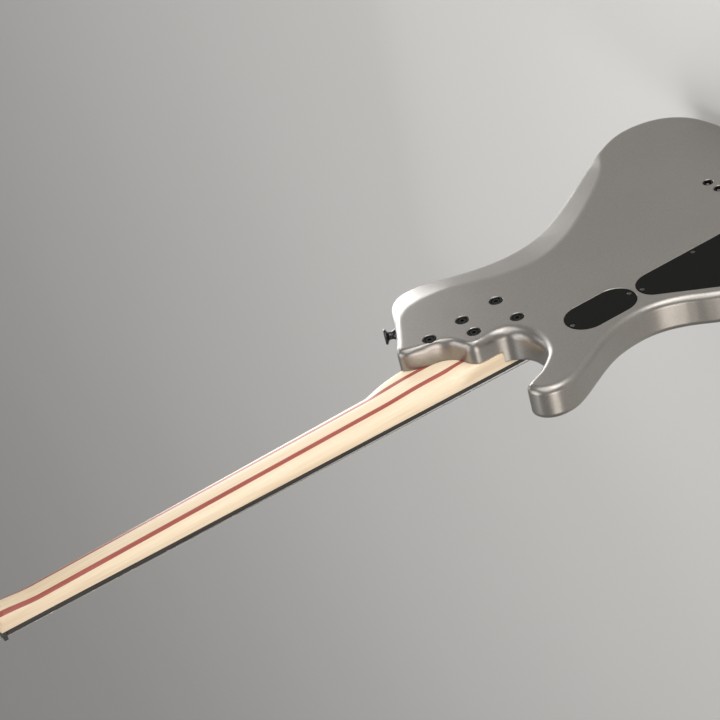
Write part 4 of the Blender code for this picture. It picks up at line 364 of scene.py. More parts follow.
def noise(tree, scale, stretch=(1, 1, 1), detail=4.0, rough=0.55):
    """Noise in the piece's own coordinates, stretched along an axis."""
    mapping = add(tree, "Mapping", {"Scale": tuple(scale * part for part in stretch)})
    tree.links.new(own_place(tree), mapping.inputs["Vector"])
    made = add(tree, "TexNoise", {"Scale": 1.0, "Detail": detail, "Roughness": rough})
    tree.links.new(mapping.outputs["Vector"], made.inputs["Vector"])
    return made.outputs["Fac"]


def ramp(tree, source, dark, light, low=0.35, high=0.65):
    made = add(tree, "ValToRGB")
    first, last = made.color_ramp.elements
    first.position, last.position = low, high
    first.color, last.color = (*dark, 1), (*light, 1)
    tree.links.new(source, made.inputs["Fac"])
    return made.outputs["Color"]


def mixed(tree, factor, first, second, blend="MIX"):
    """Two colours mixed, by a number or by another socket."""
    made = add(tree, "Mix", data_type="RGBA", blend_type=blend)
    if isinstance(factor, float):
        made.inputs["Factor"].default_value = factor
    else:
        tree.links.new(factor, made.inputs["Factor"])
    tree.links.new(first, made.inputs["A"])
    tree.links.new(second, made.inputs["B"])
    return made.outputs["Result"]


def calculated(tree, operation, source, value=0.0):
    made = add(tree, "Math", operation=operation)
    made.inputs[1].default_value = value
    tree.links.new(source, made.inputs[0])
    return made.outputs[0]


def spread(tree, source, low, high):
    made = add(tree, "MapRange", {"From Min": 0.3, "From Max": 0.7, "To Min": low, "To Max": high})
    tree.links.new(source, made.inputs["Value"])
    return made.outputs["Result"]


def bump(tree, shader, source, distance, strength=1.0):
    made = add(tree, "Bump", {"Strength": strength, "Distance": distance})
    tree.links.new(source, made.inputs["Height"])
    tree.links.new(made.outputs["Normal"], shader.inputs["Normal"])


def surface(name, dark, light, scale, roughness, stretch=(1, 1, 1), metallic=0.0, coat=0.0,
            relief=0.00002, spread_of=0.05, specular=0.5):
    """A finish with mottled colour, uneven gloss and a fine relief."""
    made, tree, shader = new_material(name, roughness, metallic, coat, specular=specular)
    source = noise(tree, scale, stretch)
    tree.links.new(ramp(tree, source, dark, light), shader.inputs["Base Color"])
    fine = noise(tree, scale * 3.1, stretch, 2.0)
    tree.links.new(spread(tree, fine, roughness - spread_of, roughness + spread_of),
                   shader.inputs["Roughness"])
    bump(tree, shader, fine, relief)
    return made


def silver_finish():
    """Satin metallic lacquer: flakes a third of a millimetre wide under a soft clear coat."""
    made, tree, shader = new_material("satin_silver", 0.34, 0.92, 0.15, 0.28)
    flakes = add(tree, "TexVoronoi", {"Scale": 2800.0})
    tree.links.new(own_place(tree), flakes.inputs["Vector"])
    split = add(tree, "SeparateColor")
    tree.links.new(flakes.outputs["Color"], split.inputs["Color"])
    sparkle = ramp(tree, split.outputs["Red"], (0.250, 0.236, 0.219), (0.332, 0.316, 0.295),
                   0.0, 1.0)
    cloud = ramp(tree, noise(tree, 9.0, detail=2.0), (0.96, 0.96, 0.965), (1.0, 1.0, 1.0))
    tree.links.new(mixed(tree, 1.0, sparkle, cloud, "MULTIPLY"), shader.inputs["Base Color"])
    tree.links.new(spread(tree, noise(tree, 60.0), 0.325, 0.365), shader.inputs["Roughness"])
    bump(tree, shader, noise(tree, 420.0, detail=1.0), 0.000012, 0.6)
    return made


def maple_finish():
    """Satin maple with two rose-red strips let in along the neck."""
    made, tree, shader = new_material("striped_maple", 0.42, 0.0, 0.15, 0.3)
    grain = noise(tree, 420.0, (1.0, 1.0, 0.035), 5.0, 0.6)
    wood = ramp(tree, grain, (0.800, 0.640, 0.455), (0.890, 0.750, 0.570), 0.3, 0.7)
    broad = ramp(tree, noise(tree, 30.0, (1.0, 1.0, 0.15), 2.0),
                 (0.93, 0.91, 0.87), (1.0, 1.0, 1.0))
    rose = ramp(tree, grain, (0.30, 0.062, 0.045), (0.42, 0.105, 0.080), 0.25, 0.75)
    axes = add(tree, "SeparateXYZ")
    tree.links.new(own_place(tree), axes.inputs["Vector"])
    side = calculated(tree, "ABSOLUTE", axes.outputs["X"])
    off = calculated(tree, "ABSOLUTE", calculated(tree, "SUBTRACT", side, STRIPE_CENTRE))
    striped = calculated(tree, "LESS_THAN", off, STRIPE_WIDTH / 2)
    toned = mixed(tree, 1.0, wood, broad, "MULTIPLY")
    tree.links.new(mixed(tree, striped, toned, rose), shader.inputs["Base Color"])
    tree.links.new(spread(tree, grain, 0.38, 0.46), shader.inputs["Roughness"])
    bump(tree, shader, grain, 0.00002, 0.5)
    return made


def wound_finish():
    """Round-wound steel: the wrap shows as fine ribs across the string, in relief and with painted
    shade in the grooves between them.
    """
    made, tree, shader = new_material("wound_steel", 0.30, 1.0)
    wave = add(tree, "TexWave", {"Scale": 620.0, "Distortion": 0.0}, bands_direction="Z")
    tree.links.new(own_place(tree), wave.inputs["Vector"])
    # Painted shade: the colour follows the ribs, darker in the grooves between the windings and
    # lighter on their crests.
    groove_shaded_ribs = ramp(tree, wave.outputs["Fac"], (0.42, 0.40, 0.37), (0.66, 0.64, 0.60), 0.1, 0.7)
    tree.links.new(groove_shaded_ribs, shader.inputs["Base Color"])
    tree.links.new(spread(tree, noise(tree, 90.0), 0.26, 0.36), shader.inputs["Roughness"])
    bump(tree, shader, wave.outputs["Fac"], 0.00006)
    return made


def make_finishes():
    return {
        "silver": silver_finish(),
        "maple": maple_finish(),
        "black_wood": surface("black_fretboard_wood", (0.012, 0.010, 0.009),
                              (0.030, 0.025, 0.022), 500.0, 0.48, (1.0, 1.0, 0.04),
                              relief=0.00005),
        "fret": surface("fret_metal", (0.56, 0.55, 0.52), (0.68, 0.67, 0.64),
                        900.0, 0.24, (0.05, 1.0, 1.0), 1.0),
        "pearl": surface("pale_dots", (0.66, 0.65, 0.60), (0.80, 0.79, 0.75), 300.0, 0.3),
        "plastic": surface("matte_black_plastic", (0.0030, 0.0030, 0.0024),
                           (0.0055, 0.0055, 0.0046), 1600.0, 0.38, specular=0.05),
        "bolt": surface("blackened_bolts", (0.005, 0.005, 0.005), (0.010, 0.010, 0.0095),
                        900.0, 0.30, relief=0.00001, specular=0.12),
        "nut": surface("black_nut", (0.014, 0.014, 0.014), (0.022, 0.022, 0.022), 700.0, 0.4),
        "black": surface("black_plating", (0.018, 0.018, 0.019), (0.030, 0.030, 0.032),
                         350.0, 0.26, metallic=0.55, coat=0.3, relief=0.00001),
        "steel": surface("plain_steel", (0.46, 0.46, 0.47), (0.60, 0.60, 0.61),
                         700.0, 0.30, (1.0, 1.0, 0.1), 1.0),
        "dark_steel": surface("dark_screws", (0.10, 0.10, 0.10), (0.17, 0.17, 0.165),
                              900.0, 0.30, metallic=1.0),
        "rod": surface("rod_steel", (0.26, 0.26, 0.27), (0.34, 0.34, 0.35),
                       400.0, 0.4, metallic=1.0),
        "wound": wound_finish(),
        "coil": surface("potted_coil", (0.035, 0.028, 0.026), (0.06, 0.05, 0.046), 500.0, 0.6),
        "battery": surface("tin_case", (0.08, 0.09, 0.105), (0.12, 0.13, 0.15),
                           200.0, 0.38, metallic=0.4),
        "board": surface("green_board", (0.015, 0.10, 0.04), (0.03, 0.15, 0.07), 600.0, 0.45),
    }


def linked(name, data):
    shape = bpy.data.objects.new(name, data)
    bpy.context.scene.collection.objects.link(shape)
    return shape


def mesh_of(form, name):
    """The mesh that was being edited."""
    mesh = bpy.data.meshes.new(name)
    form.to_mesh(mesh)
    form.free()
    return mesh


def evaluated(shape):
    """The mesh of an object with its modifiers, and the object removed."""
    bpy.context.view_layer.update()
    graph = bpy.context.evaluated_depsgraph_get()
    mesh = bpy.data.meshes.new_from_object(shape.evaluated_get(graph))
    mesh.transform(shape.matrix_world)
    bpy.data.objects.remove(shape, do_unlink=True)
    return mesh


def combined(operation, mesh, *tools):
    """One mesh cut by others, or joined with them."""
    shape = linked("blank", mesh)
    others = [linked("tool", tool) for tool in tools]
    for tool in others:
        modifier = shape.modifiers.new("tool", "BOOLEAN")
        modifier.operation = operation
        modifier.solver = "EXACT"
        modifier.object = tool
    result = evaluated(shape)
    for tool in others:
        bpy.data.objects.remove(tool, do_unlink=True)
    return result


def gathered(meshes):
    """Separate meshes as one."""
    form = bmesh.new()
    for mesh in meshes:
        form.from_mesh(mesh)
    return mesh_of(form, "set")


def cleaned(mesh, weld=WELD):
    form = bmesh.new()
    form.from_mesh(mesh)
    bmesh.ops.remove_doubles(form, verts=form.verts, dist=weld)
    bmesh.ops.recalc_face_normals(form, faces=form.faces)
    form.to_mesh(mesh)
    form.free()
    return mesh


def piece(name, mesh, finish, nodes=(), body=ROOT, place=None, bevel=0.0):
    """A finished piece that stands for CAD nodes and rides on a body, or, given no body's name,
    stays fixed where it is made.
    """
    mesh.materials.clear()
    mesh.materials.append(FINISHES[finish])
    shape = linked(name, mesh)
    if place:
        mesh.transform(place)
    if bevel:
        modifier = shape.modifiers.new("soft_edges", "BEVEL")
        modifier.width = bevel
        modifier.segments = 2
        modifier.limit_method = "ANGLE"
        modifier.angle_limit = ROUNDED_FROM
        modifier.miter_outer = "MITER_ARC"
    mesh.shade_smooth()
    mesh.set_sharp_from_angle(angle=CREASED_FROM)
    normals = shape.modifiers.new("flat_faces", "WEIGHTED_NORMAL")
    normals.keep_sharp = True
    if isinstance(body, str):
        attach(shape, body)
    else:
        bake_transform(shape)
    if nodes:
        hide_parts(*nodes)
    return shape


def softened(node, finish, width, body=ROOT):
    """A copy of a CAD piece with its flat faces merged and its edges rounded."""
    form = bmesh.new()
    form.from_mesh(frame["nodes"][node].data)
    bmesh.ops.remove_doubles(form, verts=form.verts, dist=WELD)
    bmesh.ops.dissolve_limit(form, angle_limit=SAME_PLANE, verts=form.verts, edges=form.edges)
    mesh = mesh_of(form, node + "_soft")
    return piece(node + "_finish", mesh, finish, [node], body, bevel=width)


def dressed(node, finish):
    """A CAD piece that stays, with its finish."""
    mesh = frame["nodes"][node].data
    mesh.materials.clear()
    mesh.materials.append(FINISHES[finish])


def aimed(place, direction):
    turn = Vector(direction).normalized().to_track_quat("Z", "Y")
    return Matrix.Translation(Vector(place)) @ turn.to_matrix().to_4x4()


def cylinder(radius, start, end, sides=32):
    start, end = Vector(start), Vector(end)
    form = bmesh.new()
    bmesh.ops.create_cone(form, cap_ends=True, segments=sides, radius1=radius, radius2=radius,
                          depth=(end - start).length)
    mesh = mesh_of(form, "cylinder")
    mesh.transform(aimed(start.lerp(end, 0.5), end - start))
    return mesh


def turned(profile, sides=48):
    """A solid of revolution about local Z from (radius, height) points, top to bottom."""
    mesh = bpy.data.meshes.new("profile")
    mesh.from_pydata([(radius, 0, height) for radius, height in profile],
                     [(i, i + 1) for i in range(len(profile) - 1)], [])
    shape = linked("profile", mesh)
    screw = shape.modifiers.new("turn", "SCREW")
    screw.steps = sides
    screw.render_steps = sides
    screw.use_merge_vertices = True
    screw.merge_threshold = 0.000005
    return cleaned(evaluated(shape))


def loft(rings):
    """A closed skin over rings of points, with flat ends."""
    count = len(rings[0])
    faces = [tuple(reversed(range(count)))]
    for row in range(len(rings) - 1):
        low, high = row * count, (row + 1) * count
        for i in range(count):
            j = (i + 1) % count
            faces.append((low + i, low + j, high + j, high + i))
    faces.append(tuple(range((len(rings) - 1) * count, len(rings) * count)))
    mesh = bpy.data.meshes.new("loft")
    mesh.from_pydata([tuple(point) for ring in rings for point in ring], [], faces)
    return cleaned(mesh)


def prism(outline, front, back):
    return loft([[(x, y, z) for x, z in outline] for y in (front, back)])


def slab(outline, front, back, edge, steps=3):
    """A flat outline in x and z, thick from front to back in y, with round edges."""
    curve = bpy.data.curves.new("outline", "CURVE")
    curve.dimensions = "2D"
    curve.fill_mode = "BOTH"
    curve.extrude = (back - front) / 2 - edge
    curve.bevel_depth = edge
    curve.bevel_resolution = steps
    curve.offset = -edge
    spline = curve.splines.new("POLY")
    spline.points.add(len(outline) - 1)
    for point, (x, z) in zip(spline.points, outline):
        point.co = (x, z, 0, 1)
    spline.use_cyclic_u = True
    shape = linked("outline", curve)
    shape.matrix_world = Matrix.Translation((0, (front + back) / 2, 0)) @ FACING_FRONT
    return cleaned(evaluated(shape))


def hermite(start, end, leave, arrive, t):
    return (start * (2 * t ** 3 - 3 * t ** 2 + 1) + leave * (t ** 3 - 2 * t ** 2 + t)
            + end * (3 * t ** 2 - 2 * t ** 3) + arrive * (t ** 3 - t ** 2))


def smooth_path(points, closed, max_turn):
    """Points on a curve through the given ones, closer together where it bends."""
    knots = [Vector(point) for point in points]
    count = len(knots)
    path = []
    for i in range(count if closed else count - 1):
        around = []
        for step in (-1, 0, 1, 2):
            k = i + step
            around.append(knots[k % count] if closed else knots[min(max(k, 0), count - 1)])
        before, start, end, after = around
        reach = (end - start).length
        leave, arrive = (end - before).normalized() * reach, (after - start).normalized() * reach
        turn = leave.angle(arrive, 0.0) + leave.angle(end - start, 0.0)
        steps = max(2, math.ceil(turn / max_turn))
        path += [hermite(start, end, leave, arrive, step / steps) for step in range(steps)]
    if not closed:
        path.append(knots[-1])
    return path


def hull_of_circles(circles, inset=0.0, sides=64):
    """The outline around circles, drawn in by an inset."""
    middle = [sum(circle[axis] for circle in circles) / len(circles) for axis in (0, 1)]
    circles = sorted(circles, key=lambda c: math.atan2(c[1] - middle[1], c[0] - middle[0]))
    count = len(circles)
    outline = []
    for i in range(count):
        normals = []
        for j, k in ((i - 1, i), (i, (i + 1) % count)):
            along = Vector(circles[k][:2]) - Vector(circles[j][:2])
            lean = math.asin((circles[j][2] - circles[k][2]) / along.length)
            normals.append(math.atan2(along.y, along.x) - math.pi / 2 + lean)
        first, last = normals
        while last < first:
            last += 2 * math.pi
        x, z, radius = circles[i]
        steps = max(3, round(sides * (last - first) / (2 * math.pi)))
        for step in range(steps + 1):
            angle = first + (last - first) * step / steps
            outline.append((x + (radius - inset) * math.cos(angle),
                            z + (radius - inset) * math.sin(angle)))
    return outline


def rounded_rectangle(width, height, radius, centre):
    x, z = width / 2 - radius, height / 2 - radius
    return hull_of_circles([(centre[0] + sx * x, centre[1] + sz * z, radius)
                            for sx in (-1, 1) for sz in (-1, 1)])


def raised(places):
    """Move (x, height, ...) places from the saddle line to the frame's height."""
    return [(place[0], place[1] + BRIDGE_Z, *place[2:]) for place in places]


def fret_z(number):
    return -SCALE_LENGTH * (1 - 2 ** (-number / 12))


def half_width(z):
    along = min(z, 0) / LAST_FRET_Z
    return (NUT_WIDTH + (WIDTH_AT_LAST_FRET - NUT_WIDTH) * along) / 2


def eased(low, high, share):
    share = min(max(share, 0.0), 1.0)
    return low + (high - low) * share * share * (3 - 2 * share)


def board_drop(x):
    return FRETBOARD_RADIUS - math.sqrt(FRETBOARD_RADIUS ** 2 - x ** 2)


def side_of(x):
    return 1 if x > 0 else -1


def tuner_places():
    return ((-TUNER_OFFSET, TUNER_NEAR), (-TUNER_OFFSET, TUNER_FAR),
            (TUNER_OFFSET, TUNER_FAR), (TUNER_OFFSET, TUNER_NEAR))


def string_x_at_bridge(number):
    return (number - 1.5) * BRIDGE_STRING_PITCH


# Body


def even_outline():
    """Points at even steps along the outline, counter-clockwise in x and z, and the inset and
    depth of the back's edge at each."""
    knots = raised(BODY_OUTLINE)
    path = [Vector(point) for point in smooth_path(knots, True, math.radians(2))]
    path.append(path[0])
    runs = np.cumsum([0.0] + [(b - a).length for a, b in zip(path, path[1:])])
    at = np.linspace(0, runs[-1], round(runs[-1] / OUTLINE_STEP), endpoint=False)
    low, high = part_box("body")
    xs = np.clip(np.interp(at, runs, [point.x for point in path]), low.x, high.x)
    zs = np.clip(np.interp(at, runs, [point.y for point in path]), low.z, high.z)
    places = np.array([tuple(point) for point in path])
    stops = [runs[np.argmin(np.linalg.norm(places - knot, axis=1))] for knot in knots]
    edges = [(EDGE_RADIUS, EDGE_RADIUS)] * len(knots)
    edges[HEEL_ROLL_FIRST + 1:HEEL_ROLL_FIRST + len(HEEL_ROLL) - 1] = HEEL_ROLL[1:-1]
    edge = [np.interp(at, stops + [runs[-1]], [pair[axis] for pair in edges + edges[:1]])
            for axis in (0, 1)]
    return np.stack([xs, zs], axis=1), edge


def softened_run(values, reach):
    """The values along a closed line, lowered to their least nearby and smoothed."""
    shifts = range(-reach, reach + 1)
    lowest = np.min([np.roll(values, shift) for shift in shifts], axis=0)
    return np.mean([np.roll(lowest, shift) for shift in shifts], axis=0)


def clear_of_bends(radii, outward):
    """The radii, no larger than the outline's bends allow."""
    for reach in (1, 3):
        before, after = np.roll(outward, reach, axis=0), np.roll(outward, -reach, axis=0)
        turn = before[:, 0] * after[:, 1] - before[:, 1] * after[:, 0]
        radii = np.minimum(radii, BEND_SHARE * 2 * reach * OUTLINE_STEP / np.maximum(turn, 0.0001))
    return softened_run(radii, 3)


def stations():
    """The contour's outer and inner lines and its drops, at close steps."""
    rows = []
    for which in range(3):
        knots = [Vector(station[which]) if which < 2 else Vector((station[2], 0))
                 for station in CONTOUR_STATIONS]
        path = []
        for i in range(len(knots) - 1):
            before, after = knots[max(i - 1, 0)], knots[min(i + 2, len(knots) - 1)]
            leave, arrive = (knots[i + 1] - before) / 2, (after - knots[i]) / 2
            path += [hermite(knots[i], knots[i + 1], leave, arrive, step / CONTOUR_STEPS)
                     for step in range(CONTOUR_STEPS)]
        path.append(knots[-1])
        rows.append(np.array([tuple(point) for point in path]))
    outer, inner, drops = rows
    outer[:, 1] += BRIDGE_Z
    inner[:, 1] += BRIDGE_Z
    return outer, inner, drops[:, 0]


def contour_drop(points):
    """How far the back lies below its plane at (x, z) points."""
    outer, inner, drops = STATIONS
    span = outer - inner
    lengths = np.linalg.norm(span, axis=1)
    away = span / lengths[:, None]
    result = np.zeros(len(points))
    for first in range(0, len(points), BATCH):
        some = points[first:first + BATCH]
        from_inner = some[:, None] - inner[None]
        along = (from_inner * away[None]).sum(axis=2)
        across = from_inner[..., 0] * away[None, :, 1] - from_inner[..., 1] * away[None, :, 0]
        near = np.argmin(np.abs(across) + np.maximum(-along, 0), axis=1)
        rows = np.arange(len(some))
        here = across[rows, near]
        sides = []
        for step in (-1, 1):
            other = np.clip(near + step, 0, len(drops) - 1)
            there = across[rows, other]
            sides.append((here * there < 0, other, there))
        (before_ok, before, before_off), (after_ok, after, after_off) = sides
        other = np.where(after_ok, after, np.where(before_ok, before, near))
        there = np.where(after_ok, after_off, np.where(before_ok, before_off, here))
        off = np.abs(here) + np.abs(there) + 1e-12
        share = np.where(other == near, 0.0, np.abs(here) / off)
        t_here = along[rows, near] / lengths[near]
        t_there = along[rows, other] / lengths[other]
        t = t_here * (1 - share) + t_there * share
        drop = drops[near] * (1 - share) + drops[other] * share
        soft = CREASE_SOFTNESS
        bent = np.where(t > soft, t, np.where(t < -soft, 0.0, (t + soft) ** 2 / (4 * soft)))
        result[first:first + BATCH] = drop * bent
    return result


def inside(points, outline):
    """Which points lie inside a closed outline and clear of it."""
    start, end = outline, np.roll(outline, -1, axis=0)
    x, z = points[:, 0][:, None], points[:, 1][:, None]
    spans = (start[None, :, 1] > z) != (end[None, :, 1] > z)
    rise = np.where(end[:, 1] == start[:, 1], 1.0, end[:, 1] - start[:, 1])
    slope = (end[:, 0] - start[:, 0]) / rise
    crossing = start[None, :, 0] + (z - start[None, :, 1]) * slope[None]
    odd = (spans & (x < crossing)).sum(axis=1) % 2 == 1
    clear = ((x - start[None, :, 0]) ** 2 + (z - start[None, :, 1]) ** 2).min(axis=1)
    return odd & (clear > (BACK_CLEAR_SHARE * BACK_STEP) ** 2)


def filled_back(ring):
    """Triangles over the back inside a ring, fine enough to carry the contour."""
    low, high = ring.min(axis=0), ring.max(axis=0)
    rows = []
    height = BACK_STEP * math.sqrt(3) / 2
    for number, z in enumerate(np.arange(low[1], high[1], height)):
        xs = np.arange(low[0] + (number % 2) * BACK_STEP / 2, high[0], BACK_STEP)
        rows.append(np.stack([xs, np.full(len(xs), z)], axis=1))
    grid = np.concatenate(rows)
    parts = [grid[first:first + BATCH] for first in range(0, len(grid), BATCH)]
    kept = np.concatenate([part[inside(part, ring)] for part in parts])
    flat = [Vector(point) for point in np.concatenate([ring, kept])]
    count = len(ring)
    edges = [(i, (i + 1) % count) for i in range(count)]
    points, _, faces, *_ = delaunay_2d_cdt(flat, edges, [], 1, 1e-8)
    return np.array([tuple(point) for point in points]), faces


def body_blank():
    """The outline with round edges, its back falling away along the contour."""
    outline, (inset, depth) = even_outline()
    along = np.roll(outline, -1, axis=0) - np.roll(outline, 1, axis=0)
    along /= np.linalg.norm(along, axis=1)[:, None]
    outward = np.stack([along[:, 1], -along[:, 0]], axis=1)
    beside = np.array([abs(x) - half_width(z) for x, z in outline])
    front = np.clip(beside, EDGE_AT_NECK, EDGE_RADIUS)
    front = softened_run(clear_of_bends(front, outward), 2)
    bolts = np.array(bolt_places())
    apart = np.linalg.norm(outline[:, None] - bolts[None], axis=2).min(axis=1)
    inset = np.minimum(clear_of_bends(inset, outward), softened_run(apart - BOLT_CLEAR, 2))
    depth = np.minimum(softened_run(depth, 3), inset * STEEPEST_ROLL)
    angles = [math.pi / 2 * step / EDGE_STEPS for step in range(EDGE_STEPS + 1)]
    rings = []
    for angle in reversed(angles):
        flat = outline - outward * (front * (1 - math.cos(angle)))[:, None]
        rings.append((flat, BODY_FRONT + front * (1 - math.sin(angle))))
    for angle in angles:
        flat = outline - outward * (inset * (1 - math.cos(angle)))[:, None]
        rings.append((flat, BODY_BACK - contour_drop(flat) - depth * (1 - math.sin(angle))))
    points = [(x, y, z) for flat, deep in rings for (x, z), y in zip(flat, deep)]
    count = len(outline)
    faces = [tuple(range(count))]
    for row in range(len(rings) - 1):
        low, high = row * count, (row + 1) * count
        for i in range(count):
            j = (i + 1) % count
            faces.append((low + j, low + i, high + i, high + j))
    flat, triangles = filled_back(rings[-1][0])
    deep = BODY_BACK - contour_drop(flat)
    first = len(points)
    points += [(x, y, z) for (x, z), y in zip(flat, deep)]
    faces += [tuple(first + corner for corner in face) for face in triangles]
    mesh = bpy.data.meshes.new("body")
    mesh.from_pydata(points, [], faces)
    return cleaned(mesh, 2 * WELD)


def bolt_places():
    """Centres of the neck bolts, from their CAD boxes."""
    places = []
    for number in range(1, 6):
        low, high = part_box(f"neck_bolt_{number}")
        places.append(((low.x + high.x) / 2, (low.z + high.z) / 2))
    return places


def pickup_middle(name):
    low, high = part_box(f"pickup_cover_{name}")
    return (low + high) / 2


def back_bore(x, z, radius, depth):
    return cylinder(radius, (x, BODY_BACK + PAST, z), (x, BODY_BACK - depth, z), 40)


def bore_outline(x, z, radius, inset):
    angles = [2 * math.pi * step / BORE_LIP_SIDES for step in range(BORE_LIP_SIDES)]
    return [(x + (radius - inset) * math.cos(angle), z + (radius - inset) * math.sin(angle))
            for angle in angles]


def flare(outline, *sizes):
    """The rounded-over paint edge round a recess in the back."""
    low, high = outline(*sizes, PAINT_LIP / 2), outline(*sizes, -2 * PAINT_LIP)
    return loft([[(x, BODY_BACK - 1.5 * PAINT_LIP, z) for x, z in low],
                 [(x, BODY_BACK + PAINT_LIP, z) for x, z in high]])


def make_body():
    first, second, third = [], [], []
    bottom, top = NECK_END_Z - GAP, NECK_END_Z + POCKET_REACH
    low, high = half_width(bottom) + GAP, half_width(top) + GAP
    first.append(prism([(-low, bottom), (low, bottom), (high, top), (-high, top)],
                       BODY_FRONT - PAST, HEEL_DEPTH + GAP))
    for name in ("neck", "bridge"):
        low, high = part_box(f"pickup_cover_{name}")
        outline = rounded_rectangle(high.x - low.x + 2 * PICKUP_SLACK,
                                    high.z - low.z + 2 * PICKUP_SLACK,
                                    PICKUP_CORNER_RADIUS + PICKUP_SLACK,
                                    (0, pickup_middle(name).z))
        first.append(prism(outline, BODY_FRONT - PAST, PICKUP_FLOOR))
    for circles, ledge, floor in ((CONTROL_COVER_CIRCLES, CONTROL_LEDGE, CONTROL_FLOOR),
                                  (BATTERY_COVER_CIRCLES, BATTERY_LEDGE, BATTERY_FLOOR)):
        first.append(prism(hull_of_circles(raised(circles), -GAP),
                           BODY_BACK - COVER_THICKNESS - GAP, BODY_BACK + PAST))
        second.append(prism(hull_of_circles(raised(circles), ledge), floor, BODY_BACK + PAST))
        wider = [(x, z, size + GAP) for x, z, size in raised(circles)]
        third.append(flare(hull_of_circles, wider))
    for x, z in bolt_places():
        radius = BOLT_FERRULE_RADIUS + GAP
        first.append(back_bore(x, z, radius, BOLT_FERRULE_DEPTH + GAP))
        third.append(flare(bore_outline, x, z, radius))
    for number in range(len(STRING_NAMES)):
        x = string_x_at_bridge(number)
        radius = STRING_FERRULE_RADIUS + GAP
        first.append(back_bore(x, STRING_HOLE_Z, radius, STRING_FERRULE_DEPTH + GAP))
        third.append(flare(bore_outline, x, STRING_HOLE_Z, radius))
        second.append(back_bore(x, STRING_HOLE_Z, STRING_HOLE_RADIUS, BODY_BACK))
    for name in ("volume", "blend", "bass", "treble"):
        x, y, z = JOINTS[f"knob_{name}_turn"]["pos_m"]
        first.append(cylinder(POT_HOLE_RADIUS, (x, y - PAST, z), (x, CONTROL_FLOOR + PAST / 2, z)))
    low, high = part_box("output_jack")
    middle = (low + high) / 2
    first.append(cylinder(JACK_HOLE_RADIUS, (high.x + PAST, middle.y, middle.z),
                          (high.x - JACK_HOLE_DEPTH, middle.y, middle.z)))
    mesh = combined("DIFFERENCE", body_blank(), gathered(first), gathered(second), gathered(third))
    piece("body_shell", mesh, "silver", ["body"])


# Neck


def neck_ring(z, depth, squareness):
    """A cross-section: flat under the fretboard and round behind, square in the heel."""
    treble = eased(1.0, 0.0, (z - NECK_END_Z - TREBLE_HEEL_LENGTH) / TREBLE_FLARE)
    ring = []
    for i in range(NECK_SIDES + 1):
        angle = math.pi * i / NECK_SIDES
        cosine = math.cos(angle)
        power = eased(NECK_ROUNDNESS, HEEL_ROUNDNESS, treble if cosine > 0 else squareness)
        ring.append((half_width(z) * abs(cosine) ** (2 / power) * (1 if cosine > 0 else -1),
                     depth * abs(math.sin(angle)) ** (2 / power), z))
    return ring


def head_front_y(z):
    return HEAD_STEP + (z - NUT_THICKNESS) * math.tan(HEAD_TILT)


def root_ring(z, front, back):
    return [(-ROOT_FRONT_WIDTH / 2, front, z), (ROOT_FRONT_WIDTH / 2, front, z),
            (ROOT_BACK_WIDTH / 2, back, z), (-ROOT_BACK_WIDTH / 2, back, z)]


def shares(steps):
    return [step / steps for step in range(1, steps + 1)]


def make_neck():
    heel_full = NECK_END_Z + HEEL_LENGTH
    volute_top = HEAD_STEP + HEAD_THICKNESS + VOLUTE_RISE
    treble_end = NECK_END_Z + TREBLE_HEEL_LENGTH
    rings = [neck_ring(NECK_END_Z, HEEL_DEPTH, 1.0), neck_ring(treble_end, HEEL_DEPTH, 1.0)]
    rings += [neck_ring(treble_end + TREBLE_FLARE * share, HEEL_DEPTH, 1.0)
              for share in shares(12)]
    rings.append(neck_ring(heel_full, HEEL_DEPTH, 1.0))
    for share in shares(16):
        rings.append(neck_ring(heel_full + HEEL_FLARE * share,
                               eased(HEEL_DEPTH, NECK_DEPTH_AT_BODY, share), 1 - share))
    start = heel_full + HEEL_FLARE
    for share in shares(6):
        rings.append(neck_ring(start + (VOLUTE_START - start) * share, NECK_DEPTH_AT_BODY
                               + (NECK_DEPTH_AT_NUT - NECK_DEPTH_AT_BODY) * share, 0.0))
    for share in shares(16):
        rings.append(neck_ring(VOLUTE_START + (VOLUTE_END - VOLUTE_START) * share,
                               eased(NECK_DEPTH_AT_NUT, volute_top, share), 0.0))
    rings.append(neck_ring(NUT_THICKNESS, volute_top, 0.0))
    half = smooth_path(HEAD_HALF_OUTLINE, False, math.radians(5))
    right = [(point.x, point.y) for point in half]
    head = slab(right + [(-x, z) for x, z in reversed(right[:-1])], 0.0, HEAD_THICKNESS,
                HEAD_EDGE_RADIUS)
    head.transform(HEAD_FRAME)
    low, high = ROOT_SPAN
    back = head_front_y(high) + HEAD_THICKNESS / math.cos(HEAD_TILT) - ROOT_INSET
    root = loft([root_ring(low, HEAD_STEP, volute_top - 2 * ROOT_INSET),
                 root_ring(high, head_front_y(high), back)])
    blank = combined("UNION", loft(rings), head, root)
    bores = [cylinder(SLEEVE_BORE_RADIUS, HEAD_FRAME @ Vector((x, -PAST, z)),
                      HEAD_FRAME @ Vector((x, HEAD_THICKNESS + PAST, z)))
             for x, z in tuner_places()]
    piece("neck_shaft", combined("DIFFERENCE", blank, gathered(bores)), "maple", ["neck"])


def across_board():
    return [2 * step / BOARD_STEPS - 1 for step in range(BOARD_STEPS + 1)]


